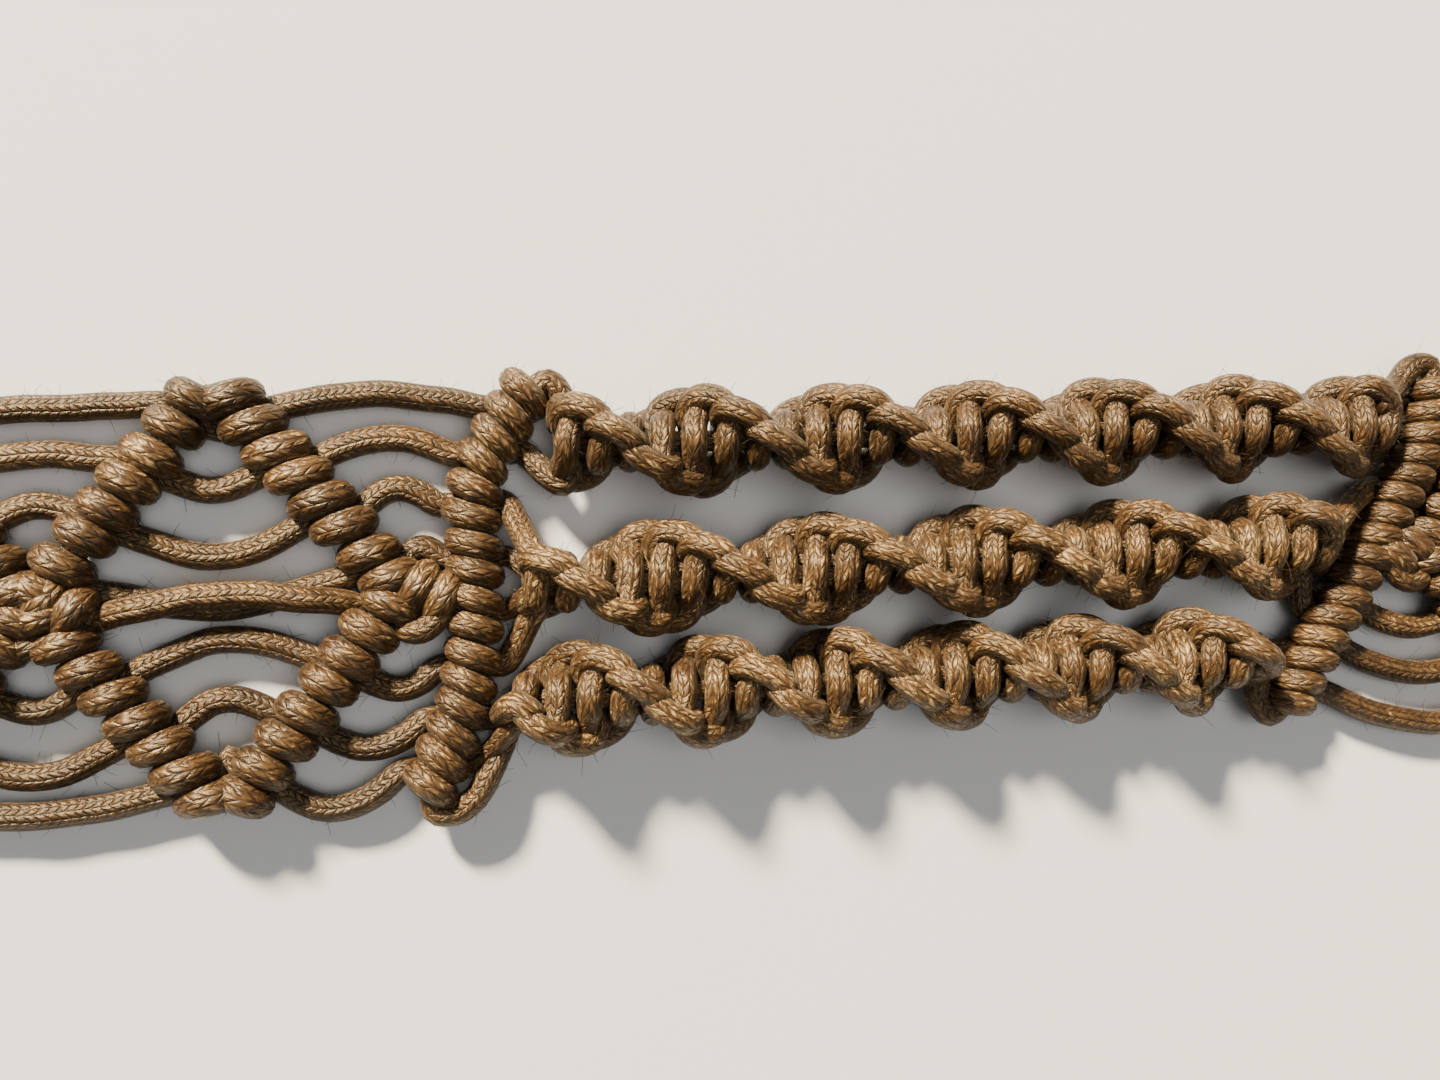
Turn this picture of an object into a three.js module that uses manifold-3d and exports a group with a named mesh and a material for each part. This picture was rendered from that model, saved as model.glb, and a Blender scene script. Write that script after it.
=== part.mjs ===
// A knotted waist belt of waxed cord, lying flat and straight on its back.
// Two nets of open diamonds flank a stretch of three spiral sinnets. Cross bars of
// hitches close each stretch, and plain sinnets lead to a cord eye and a button knot.
// Millimetres, +X along the belt, +Y across it, +Z up from the surface that it lies on.
import * as THREE from "three";
import { mergeVertices } from "three/addons/utils/BufferGeometryUtils.js";
import Module from "manifold-3d";

const wasm = await Module();
wasm.setup();

// The cord and the joints between worked stretches
const cordDiameter = 2.0;
const clearance = 0.3;
const cordColour = 0x6b4a2c;

// Hitch bars: filler cords wrapped twice each round a leader cord
const fillerCords = 8;
const wrapsPerHitch = 2;
const wrapPitch = 1.94;
const barRadius = 2.15;
const barGroove = 0.4;

// Spiral sinnets: half knots that turn round a core
const sinnetReach = 4.1;
const sinnetThickness = 5.6;
const sinnetSpacing = 9.1;
const centreStretch = 66;
const sideStretch = 83;
const sideStretches = 3;
const tieInReach = 2.5;

// The three sinnets of a stretch, across the belt in shares of sinnetSpacing. halfTurn is the
// length in which each turns half round in the centre, and start the angle that it starts at.
const rows = [
  { name: "near", across: -1, halfTurn: 9.4, start: 36 },
  { name: "middle", across: 0, halfTurn: 12, start: 8 },
  { name: "far", across: 1, halfTurn: 10.55, start: 126 },
];
const sideHalfTurn = 9.2;
const sectionsPerHalfTurn = 3;

// Diamond nets
const diamondsPerNet = 2;
const diamondHalfLength = 12.5;
const diamondHalfWidth = 14.2;
const tipGapOuter = 5.2;
const tipGapInner = 4.6;
const innerBow = 2.6;
const outerBow = 1.3;
const looseCordHeight = 1.35;

// The two ends of the belt
const neckRadius = 3.5;
const gatherLength = 16;
const gatherThickness = 2.6;
const whippingTurns = 5;
const whippingDepth = 1.7;
const whippingGroove = 0.5;
const eyeCordRadius = 2.5;
const eyeLength = 23;
const eyeWidth = 17;
const buttonRadius = 7.5;

// How finely the round pieces are cut
const barSides = 6;
const bundleSides = 8;
const eyeSides = 6;
const eyeSteps = 16;
const buttonSteps = 10;
const buttonBands = 8;
const looseCordSides = 4;

const barSpan = fillerCords * wrapsPerHitch * wrapPitch;
const halfSpan = barSpan / 2;
const hexHeight = Math.sin((2 * Math.PI) / barSides);

// How far each cross bar runs forward of its own centre, by its place across the belt.
// across is a share of half the bar's span, ahead a share of half its span too.
const straightBar = [
  { across: -1, ahead: 0 },
  { across: 1, ahead: 0 },
];
const bentBar = [
  { across: -0.96, ahead: -0.26 },
  { across: -0.5, ahead: -0.06 },
  { across: 0, ahead: 0 },
  { across: 0.5, ahead: 0.02 },
  { across: 0.95, ahead: 0.29 },
];
const slantedBar = [
  { across: -0.93, ahead: -0.61 },
  { across: -0.5, ahead: -0.36 },
  { across: 0, ahead: 0 },
  { across: 0.5, ahead: 0.27 },
  { across: 0.98, ahead: 0.38 },
];

// Sections of the gathered cords, from the last bar to the neck that the whipping binds.
// along is a share of gatherLength. wide and deep run from the bar's size to the neck's.
const gatherSections = [
  { along: 0, wide: 0, deep: 0 },
  { along: 0.3, wide: 0.22, deep: 0.3 },
  { along: 0.65, wide: 0.74, deep: 0.72 },
  { along: 1, wide: 1, deep: 1 },
];

/** Joins rings of equal count into one closed solid with flat ends. */
function loft(rings) {
  const count = rings[0].length;
  const points = rings.flat();
  const faces = [];
  for (let r = 0; r + 1 < rings.length; r++)
    for (let i = 0; i < count; i++) {
      const j = (i + 1) % count;
      const [a, b, c, e] = [r * count + i, r * count + j, (r + 1) * count + j, (r + 1) * count + i];
      faces.push(a, b, c, a, c, e);
    }
  const last = (rings.length - 1) * count;
  for (let i = 1; i + 1 < count; i++) {
    faces.push(0, i + 1, i);
    faces.push(last, last + i, last + i + 1);
  }
  if (signedVolume(points, faces) < 0) faces.reverse();
  const geometry = new THREE.BufferGeometry().setFromPoints(points);
  geometry.setIndex(faces);
  return geometry;
}

/** Six times the volume that the faces enclose, negative where they face inwards. */
function signedVolume(points, faces) {
  let volume = 0;
  for (let i = 0; i < faces.length; i += 3) {
    const [a, b, c] = [points[faces[i]], points[faces[i + 1]], points[faces[i + 2]]];
    volume += a.dot(b.clone().cross(c));
  }
  return volume;
}

/** A closed geometry as a solid that can be joined. */
function toSolid(geometry) {
  const bare = geometry.clone();
  bare.deleteAttribute("normal");
  bare.deleteAttribute("uv");
  const merged = mergeVertices(bare, 1e-4);
  return new wasm.Manifold(
    new wasm.Mesh({
      numProp: 3,
      vertProperties: new Float32Array(merged.attributes.position.array),
      triVerts: new Uint32Array(merged.index.array),
    }),
  );
}

/** Joins closed geometries into one. */
function join(geometries) {
  const joined = geometries.map(toSolid).reduce((whole, next) => whole.add(next));
  const mesh = joined.getMesh();
  const geometry = new THREE.BufferGeometry();
  geometry.setAttribute("position", new THREE.BufferAttribute(new Float32Array(mesh.vertProperties), 3));
  geometry.setIndex(new THREE.BufferAttribute(new Uint32Array(mesh.triVerts), 1));
  return geometry;
}

/**
 * A bar of hitches along a route in plan: hexagonal rings that swell over each wrap and
 * sink between them. The underside is flat, where the cord rests on the surface.
 */
function hitchBar(route, ribs) {
  const rings = [];
  for (let i = 0; i <= 2 * ribs; i++) {
    const at = route.getPointAt(i / (2 * ribs));
    const tangent = route.getTangentAt(i / (2 * ribs));
    const side = new THREE.Vector3(-tangent.y, tangent.x, 0);
    const radius = barRadius - (i % 2 ? 0 : barGroove);
    const ring = [];
    for (let k = 0; k < barSides; k++) {
      const angle = (2 * k * Math.PI) / barSides;
      const rise = radius * Math.sin(angle);
      const z = rise < -radius / 2 ? 0 : barRadius * hexHeight + rise;
      ring.push(new THREE.Vector3(at.x, at.y, z).addScaledVector(side, radius * Math.cos(angle)));
    }
    rings.push(ring);
  }
  return loft(rings);
}

/** A loose cord through the given points. */
function looseCord(points, steps) {
  const section = new THREE.Shape();
  for (let k = 0; k < looseCordSides; k++) {
    const angle = ((k + 0.5) * 2 * Math.PI) / looseCordSides;
    const [u, v] = [(cordDiameter / 2) * Math.cos(angle), (cordDiameter / 2) * Math.sin(angle)];
    if (k) section.lineTo(u, v);
    else section.moveTo(u, v);
  }
  section.closePath();
  const extrudePath = new THREE.CatmullRomCurve3(points);
  return new THREE.ExtrudeGeometry(section, { steps, extrudePath, bevelEnabled: false });
}

/** The route in plan of a cross bar whose centre is at x, from its table. */
function crossRoute(x, table) {
  const points = table.map((row) => new THREE.Vector3(x + row.ahead * halfSpan, row.across * halfSpan, 0));
  return points.length > 2 ? new THREE.CatmullRomCurve3(points) : new THREE.LineCurve3(...points);
}

/** How far forward a bar's axis lies at y, from its table. */
function barAxis(table, y) {
  const ends = [table[0].across, table[table.length - 1].across];
  const share = THREE.MathUtils.clamp(y / halfSpan, ...ends);
  let k = 1;
  while (k + 1 < table.length && table[k].across < share) k++;
  const [low, high] = [table[k - 1], table[k]];
  const t = (share - low.across) / (high.across - low.across);
  return THREE.MathUtils.lerp(low.ahead, high.ahead, t) * halfSpan;
}

/** The x that a piece as wide as halfWidth may reach beside a bar, on its left or right. */
function besideBar(bar, y, halfWidth, direction) {
  let reach = -Infinity;
  for (const share of [-1, -0.5, 0, 0.5, 1]) {
    const near = y + share * halfWidth;
    const slope = (barAxis(bar.table, near + 1) - barAxis(bar.table, near - 1)) / 2;
    const face = barRadius * Math.hypot(1, slope) + clearance;
    reach = Math.max(reach, direction * barAxis(bar.table, near) + face);
  }
  return bar.x + direction * reach;
}

/** A sinnet between two bars at y: an oval section that turns half round in each halfTurn. */
function sinnet(leftBar, rightBar, y, halfTurn, startAngle, section) {
  const start = besideBar(leftBar, y, 0, 1);
  const end = besideBar(rightBar, y, 0, -1);
  const count = Math.round(((end - start) / halfTurn) * sectionsPerHalfTurn);
  const rings = [];
  for (let i = 0; i <= count; i++) {
    const tiedIn = i === 0 || i === count;
    const scale = tiedIn ? tieInReach / sinnetReach : 1;
    const angle = THREE.MathUtils.degToRad(startAngle) + (i * Math.PI) / sectionsPerHalfTurn;
    const x = THREE.MathUtils.lerp(start, end, i / count);
    const ring = section.map(([u, v]) => {
      const [along, over] = [u * sinnetReach * scale, (v * sinnetThickness * scale) / 2];
      return new THREE.Vector3(
        x,
        y + along * Math.cos(angle) - over * Math.sin(angle),
        sinnetReach * scale + along * Math.sin(angle) + over * Math.cos(angle),
      );
    });
    if (i === 0) for (const corner of ring) corner.x = besideBar(leftBar, corner.y, 0, 1);
    if (i === count) for (const corner of ring) corner.x = besideBar(rightBar, corner.y, 0, -1);
    rings.push(ring);
  }
  return loft(rings);
}

const fullOval = [
  [1, 0],
  [0.5, 1],
  [-0.5, 1],
  [-1, 0],
  [-0.5, -1],
  [0.5, -1],
];
const plainOval = [
  [1, 0],
  [0, 1],
  [-1, 0],
  [0, -1],
];

/** The point a share of the way along a straight bar, at the height of a loose cord's middle. */
function between(from, to, share) {
  const point = from.clone().lerp(to, share);
  point.z = looseCordHeight;
  return point;
}

/** The cord that spans two points in plan, bowed across the belt at its middle. */
function bowedCord(from, to, bow) {
  const middle = from.clone().lerp(to, 0.5);
  middle.y += bow;
  return looseCord([from, middle, to], 2);
}

/**
 * A row of open diamonds between two bars, in one net, with the cords that run beside it.
 * Only the diamond next to the centre, number strung, has the strands across its window.
 */
function diamondNet(leftBar, rightBar, firstTip, strung) {
  const pieces = [];
  const half = fillerCords / 2;
  const point = (x, y) => new THREE.Vector3(x, y, 0);
  const tips = [];
  for (let n = 0; n <= diamondsPerNet; n++) tips.push(point(firstTip + 2 * n * diamondHalfLength, 0));
  for (const side of [1, -1]) {
    const peaks = tips.slice(1).map((tip) => point(tip.x - diamondHalfLength, side * diamondHalfWidth));
    peaks.forEach((peak, n) => {
      pieces.push(hitchBar(new THREE.LineCurve3(tips[n], peak), half));
      pieces.push(hitchBar(new THREE.LineCurve3(peak, tips[n + 1]), half));
    });
    for (let i = 0; i < half; i++) {
      const share = (i + 0.5) / half;
      peaks.forEach((peak, n) => {
        if (i > 0 && n === strung)
          pieces.push(
            bowedCord(between(peak, tips[n], share), between(peak, tips[n + 1], share), -side * innerBow),
          );
        if (n > 0)
          pieces.push(
            bowedCord(between(peaks[n - 1], tips[n], share), between(peak, tips[n], share), side * outerBow),
          );
      });
      const y = side * (halfSpan - (2 * i + 1) * wrapPitch);
      const last = peaks.length - 1;
      const atLeft = point(besideBar(leftBar, y, cordDiameter, 1), y);
      const atRight = point(besideBar(rightBar, y, cordDiameter, -1), y);
      atLeft.z = atRight.z = looseCordHeight;
      pieces.push(bowedCord(atLeft, between(peaks[0], tips[0], share), side * outerBow));
      pieces.push(bowedCord(between(peaks[last], tips[last + 1], share), atRight, side * outerBow));
    }
  }
  for (const [tip, bar, direction] of [
    [tips[0], leftBar, 1],
    [tips[tips.length - 1], rightBar, -1],
  ]) {
    const end = point(besideBar(bar, 0, barRadius, direction), 0);
    pieces.push(hitchBar(new THREE.LineCurve3(end, tip), 1));
  }
  return join(pieces);
}

/** A ring across the belt's length, wide in Y and deep in Z. */
function acrossRing(x, z, wide, deep) {
  const ring = [];
  for (let k = 0; k < bundleSides; k++) {
    const angle = ((2 * k + 1) * Math.PI) / bundleSides;
    ring.push(new THREE.Vector3(x, wide * Math.cos(angle), z + deep * Math.sin(angle)));
  }
  return ring;
}

const flatReach = Math.cos(Math.PI / bundleSides);
const whippingRadius = neckRadius + clearance + whippingDepth;
const whippingLength = whippingTurns * cordDiameter;

/** The gathered cords from a bar's face to the end of the neck. direction is 1 or -1. */
function gatheredCords(face, direction, neckEnd) {
  const rings = gatherSections.map(({ along, wide, deep }) => {
    const width = THREE.MathUtils.lerp(halfSpan - cordDiameter, neckRadius, wide);
    const depth = THREE.MathUtils.lerp(gatherThickness / 2, neckRadius, deep);
    const height = THREE.MathUtils.lerp(gatherThickness / 2, whippingRadius, deep);
    return acrossRing(face + direction * along * gatherLength, height, width, depth);
  });
  rings.push(acrossRing(neckEnd, whippingRadius, neckRadius, neckRadius));
  return loft(rings);
}

/** The whipping that binds a neck: a sleeve with a rib for each turn of cord. */
function whipping(start) {
  const inner = (neckRadius + clearance) / flatReach;
  const outer = whippingRadius / flatReach;
  const profile = [new THREE.Vector2(inner, 0)];
  for (let i = 0; i < whippingTurns; i++) {
    profile.push(new THREE.Vector2(outer - whippingGroove, i * cordDiameter));
    profile.push(new THREE.Vector2(outer, (i + 0.5) * cordDiameter));
  }
  profile.push(new THREE.Vector2(outer - whippingGroove, whippingLength));
  profile.push(new THREE.Vector2(inner, whippingLength));
  profile.push(profile[0].clone());
  const sleeve = new THREE.LatheGeometry(profile, bundleSides, Math.PI / bundleSides);
  sleeve.rotateZ(-Math.PI / 2);
  sleeve.translate(start, 0, whippingRadius);
  return sleeve;
}

/** Adds a named piece of cord to the belt. */
function piece(name, geometry) {
  const material = new THREE.MeshStandardMaterial({ color: cordColour, roughness: 0.62, metalness: 0 });
  const mesh = new THREE.Mesh(geometry, material);
  mesh.name = name;
  belt.add(mesh);
}

const belt = new THREE.Group();
const centreHalf = centreStretch / 2 + barRadius + clearance;
const sideLength = sideStretch + 2 * (barRadius + clearance);
const netLength = 2 * diamondsPerNet * diamondHalfLength;

// The stretch in the middle: two cross bars and three full sinnets
const centreBars = [
  { x: -centreHalf, table: bentBar },
  { x: centreHalf, table: slantedBar },
];
piece("cross_bar_centre_left", hitchBar(crossRoute(centreBars[0].x, bentBar), fillerCords));
piece("cross_bar_centre_right", hitchBar(crossRoute(centreBars[1].x, slantedBar), fillerCords));
for (const { name, across, halfTurn, start } of rows)
  piece("sinnet_centre_" + name, sinnet(...centreBars, across * sinnetSpacing, halfTurn, start, fullOval));

// A net of diamonds on each side of it
const leftBars = [{ x: -centreHalf - tipGapOuter - netLength - tipGapOuter, table: straightBar }];
const rightBars = [{ x: centreHalf + tipGapInner + netLength + tipGapOuter, table: straightBar }];
const nearest = diamondsPerNet - 1;
piece("diamond_net_left", diamondNet(leftBars[0], centreBars[0], leftBars[0].x + tipGapOuter, nearest));
piece("diamond_net_right", diamondNet(centreBars[1], rightBars[0], centreBars[1].x + tipGapInner, 0));

// Plain stretches of three sinnets from each net to the ends
for (let n = 1; n <= sideStretches; n++) {
  leftBars.push({ x: leftBars[0].x - n * sideLength, table: straightBar });
  rightBars.push({ x: rightBars[0].x + n * sideLength, table: straightBar });
}
const plainRibs = fillerCords / 2;
leftBars.forEach((bar, n) => piece(`cross_bar_left_${n + 1}`, hitchBar(crossRoute(bar.x, bar.table), plainRibs)));
rightBars.forEach((bar, n) => piece(`cross_bar_right_${n + 1}`, hitchBar(crossRoute(bar.x, bar.table), plainRibs)));
for (let n = 1; n <= sideStretches; n++)
  for (const { name, across, start } of rows) {
    const [left, right] = [
      [leftBars[n], leftBars[n - 1]],
      [rightBars[n - 1], rightBars[n]],
    ];
    const y = across * sinnetSpacing;
    piece(`sinnet_left_${n}_${name}`, sinnet(...left, y, sideHalfTurn, start, plainOval));
    piece(`sinnet_right_${n}_${name}`, sinnet(...right, y, sideHalfTurn, start, plainOval));
  }

// The eye at the left end: gathered cords, a whipping and an open loop
const leftFace = leftBars[sideStretches].x - barRadius - clearance;
const leftNeck = leftFace - gatherLength;
const eyeStart = leftNeck - whippingLength - 2 * clearance;
const eyeCentre = eyeStart - 2 * eyeCordRadius - eyeLength / 2;
const ringRadius = 2;
const eye = new THREE.TorusGeometry(ringRadius, 1, eyeSides, eyeSteps);
const eyePlaces = eye.attributes.position;
for (let i = 0; i < eyePlaces.count; i++) {
  const around = Math.atan2(eyePlaces.getY(i), eyePlaces.getX(i));
  const out = Math.hypot(eyePlaces.getX(i), eyePlaces.getY(i)) - ringRadius;
  const x = (eyeLength / 2 + eyeCordRadius * (1 + out)) * Math.cos(around);
  const y = (eyeWidth / 2 + eyeCordRadius * (1 + out)) * Math.sin(around);
  eyePlaces.setXYZ(i, eyeCentre + x, y, eyeCordRadius * (1 + eyePlaces.getZ(i) / hexHeight));
}
piece("eye", join([gatheredCords(leftFace, -1, eyeStart - eyeCordRadius), eye]));
piece("eye_whipping", whipping(leftNeck - clearance - whippingLength));

// The button at the right end: gathered cords, a whipping and a round knot
const rightFace = rightBars[sideStretches].x + barRadius + clearance;
const rightNeck = rightFace + gatherLength;
const neckEnd = rightNeck + whippingLength + 2 * clearance;
piece("button_neck", gatheredCords(rightFace, 1, neckEnd));
piece("button_whipping", whipping(rightNeck + clearance));
const button = new THREE.SphereGeometry(buttonRadius, buttonSteps, buttonBands);
button.rotateX(Math.PI / 2);
button.translate(neckEnd + clearance + buttonRadius, 0, buttonRadius);
piece("button_knot", button);

// The origin lies under the middle of the whole belt.
const leftTip = eyeCentre - eyeLength / 2 - 2 * eyeCordRadius;
const rightTip = neckEnd + clearance + 2 * buttonRadius;
belt.position.x = -(leftTip + rightTip) / 2;

export default belt;
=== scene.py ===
"""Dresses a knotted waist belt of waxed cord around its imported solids.

Every piece is knotted from one kind of cord. Each cord's route is worked out in millimetres, swept
as a curve, and joined with its neighbours into one mesh for each solid that it stands for. The
belt lies along X, its width is Y, and Z is up from the surface that it lies on.
"""

from __future__ import annotations

import logging
import math
from collections.abc import Iterable, Iterator, Sequence
from dataclasses import dataclass, field
from enum import Enum
from functools import cache

import bmesh
import bpy
import numpy as np
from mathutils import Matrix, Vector

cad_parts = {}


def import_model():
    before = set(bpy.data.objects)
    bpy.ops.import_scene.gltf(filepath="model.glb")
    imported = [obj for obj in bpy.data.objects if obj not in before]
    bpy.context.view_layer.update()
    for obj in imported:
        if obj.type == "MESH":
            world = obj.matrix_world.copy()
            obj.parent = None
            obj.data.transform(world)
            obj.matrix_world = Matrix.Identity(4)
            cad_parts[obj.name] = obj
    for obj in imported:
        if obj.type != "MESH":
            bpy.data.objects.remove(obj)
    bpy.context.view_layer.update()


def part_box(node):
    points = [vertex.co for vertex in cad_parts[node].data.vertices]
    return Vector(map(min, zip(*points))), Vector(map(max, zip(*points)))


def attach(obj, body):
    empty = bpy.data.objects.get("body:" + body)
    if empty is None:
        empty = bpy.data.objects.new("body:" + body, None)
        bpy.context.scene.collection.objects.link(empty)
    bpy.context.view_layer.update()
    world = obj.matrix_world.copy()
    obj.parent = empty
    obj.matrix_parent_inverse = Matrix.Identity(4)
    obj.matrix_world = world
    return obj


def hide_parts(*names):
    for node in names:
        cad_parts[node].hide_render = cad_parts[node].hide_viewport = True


log = logging.getLogger("belt")

MILLIMETRE = 0.001
TINY = 1e-6
SEED = 7
BODY = "root"

Place = tuple[float, float, float]
Colour = tuple[float, float, float]


class Detail(Enum):
    """How finely a piece's cords are swept: the step in millimetres and Blender's roundness."""

    SHOWN = (0.36, 4)
    PLAIN = (0.8, 1)

    @property
    def step(self) -> float:
        """Distance between the rings of a swept cord."""
        return self.value[0]

    @property
    def roundness(self) -> int:
        """Blender's bevel resolution, which gives a cord 4 sides and 2 more for each level."""
        return self.value[1]


@dataclass(frozen=True)
class Cord:
    """The 2 mm cord that the belt is knotted from: its radius in millimetres where it lies loose,
    where it is pulled into a knot, and where it is hidden in a core."""

    loose: float = 0.99
    pulled: float = 0.95
    hidden: float = 0.78


CORD = Cord()


def distances(route: np.ndarray) -> np.ndarray:
    """Distance of each point of a route from its start, along the route."""
    gaps = np.linalg.norm(np.diff(route[:, :3], axis=0), axis=1)
    return np.concatenate([[0.0], np.cumsum(gaps)])


def evenly(route: np.ndarray, step: float) -> np.ndarray:
    """Resamples a route at even distances.

    Args:
        route: Points, one row each, which may have a radius after their place.
        step: Wanted distance between points.

    Returns:
        The new points, with both ends kept.
    """
    along = distances(route)
    count = max(2, round(along[-1] / step) + 1)
    wanted = np.linspace(0.0, along[-1], count)
    return np.stack([np.interp(wanted, along, column) for column in route.T], axis=1)


def smoothly(guides: Iterable[Sequence[float]], step: float) -> np.ndarray:
    """Draws a smooth route through guide points.

    Args:
        guides: Points that the route passes through, which may have a radius after their place.
        step: Distance between the route's own points.

    Returns:
        The route, evenly sampled.
    """
    points = np.asarray(list(guides), float)
    gaps = np.sqrt(np.linalg.norm(np.diff(points[:, :3], axis=0), axis=1))
    least_gap = 1e-3
    samples_per_span = 10
    times = np.concatenate([[0.0], np.cumsum(np.maximum(gaps, least_gap))])
    slopes = np.gradient(points, times, axis=0)
    t = np.linspace(0.0, 1.0, samples_per_span, endpoint=False)[:, None]
    spans = []
    for i in range(len(points) - 1):
        width = times[i + 1] - times[i]
        spans.append(
            (2 * t**3 - 3 * t**2 + 1) * points[i]
            + (t**3 - 2 * t**2 + t) * width * slopes[i]
            + (3 * t**2 - 2 * t**3) * points[i + 1]
            + (t**3 - t**2) * width * slopes[i + 1]
        )
    return evenly(np.vstack([*spans, points[-1:]]), step)


def thick(points: Iterable[Sequence[float]], radius: float) -> np.ndarray:
    """Gives points the radius that the cord has there."""
    places = np.atleast_2d(np.asarray(points, float))[:, :3]
    return np.column_stack([places, np.full(len(places), radius)])


def radii_of(route: np.ndarray, radius: float) -> np.ndarray:
    """The cord's radius at each point: the route's own, or the same one where it has none."""
    return route[:, 3] if route.shape[1] > 3 else np.full(len(route), radius)


class Hand:
    """The small unevenness of knots that are tied by hand, the same on every run.

    The waves in which a cord wanders are in millimetres.
    """

    waves = (5.0, 8.5, 15.5)

    def __init__(self, seed: int) -> None:
        """Starts the random draws from a seed."""
        self.draws = np.random.default_rng(seed)

    def wander(self, route: np.ndarray, amount: float) -> np.ndarray:
        """Pushes a route gently off its line, in waves of three lengths.

        Args:
            route: Evenly sampled points.
            amount: Rough distance of the push.

        Returns:
            The pushed points.
        """
        along = distances(route)[:, None]
        moved = route.copy()
        for wave in self.waves:
            phase = self.draws.uniform(0.0, math.tau, 3)
            moved[:, :3] += np.sin(math.tau * along / wave + phase) * amount / 2
        return moved

    def between(self, low: float, high: float) -> float:
        """One even draw between two values."""
        return float(self.draws.uniform(low, high))

    def pick(self, count: int, share: float) -> list[int]:
        """Numbers below a count, each kept with the same chance."""
        return np.flatnonzero(self.draws.uniform(size=count) < share).tolist()

    def scatter(self) -> np.ndarray:
        """A random way in space, up to about one long."""
        return self.draws.normal(size=3) / 2


@dataclass(frozen=True)
class Fuzz:
    """Cotton fibres that stand out of the cord, in millimetres.

    Each step of a cord has one by the chance per_step. Thinning is the tip's share of the fibre's
    radius, and root is the share of the cord's radius at which it starts. Standing and curl are
    shares of its length.
    """

    per_step: float = 0.8
    radius: float = 0.022
    thinning: float = 0.5
    shortest: float = 0.35
    longest: float = 1.2
    joints: int = 3
    root: float = 0.9
    standing: float = 0.75
    curl: float = 0.7
    tone: float = 1.2

    def hair(self, middle: np.ndarray, along: np.ndarray, reach: float, hand: Hand) -> np.ndarray:
        """One fibre's points.

        Args:
            middle: A point on the cord's middle line.
            along: The cord's way there.
            reach: The cord's radius.
            hand: Source of its place and curl.

        Returns:
            The points, from inside the cord outwards.
        """
        slope = along / max(np.linalg.norm(along), TINY)
        out = hand.scatter()
        out -= slope * (out @ slope)
        out /= max(np.linalg.norm(out), TINY)
        length = hand.between(self.shortest, self.longest)
        way = self.standing * out + hand.between(-1.0, 1.0) * slope
        bend = hand.scatter()
        shares = np.linspace(0.0, 1.0, self.joints)[:, None]
        points = middle + self.root * reach * out + length * (shares * way + shares**2 * self.curl * bend)
        points[:, 2] = np.maximum(points[:, 2], 2 * self.radius)
        return points


FUZZ = Fuzz()


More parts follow.
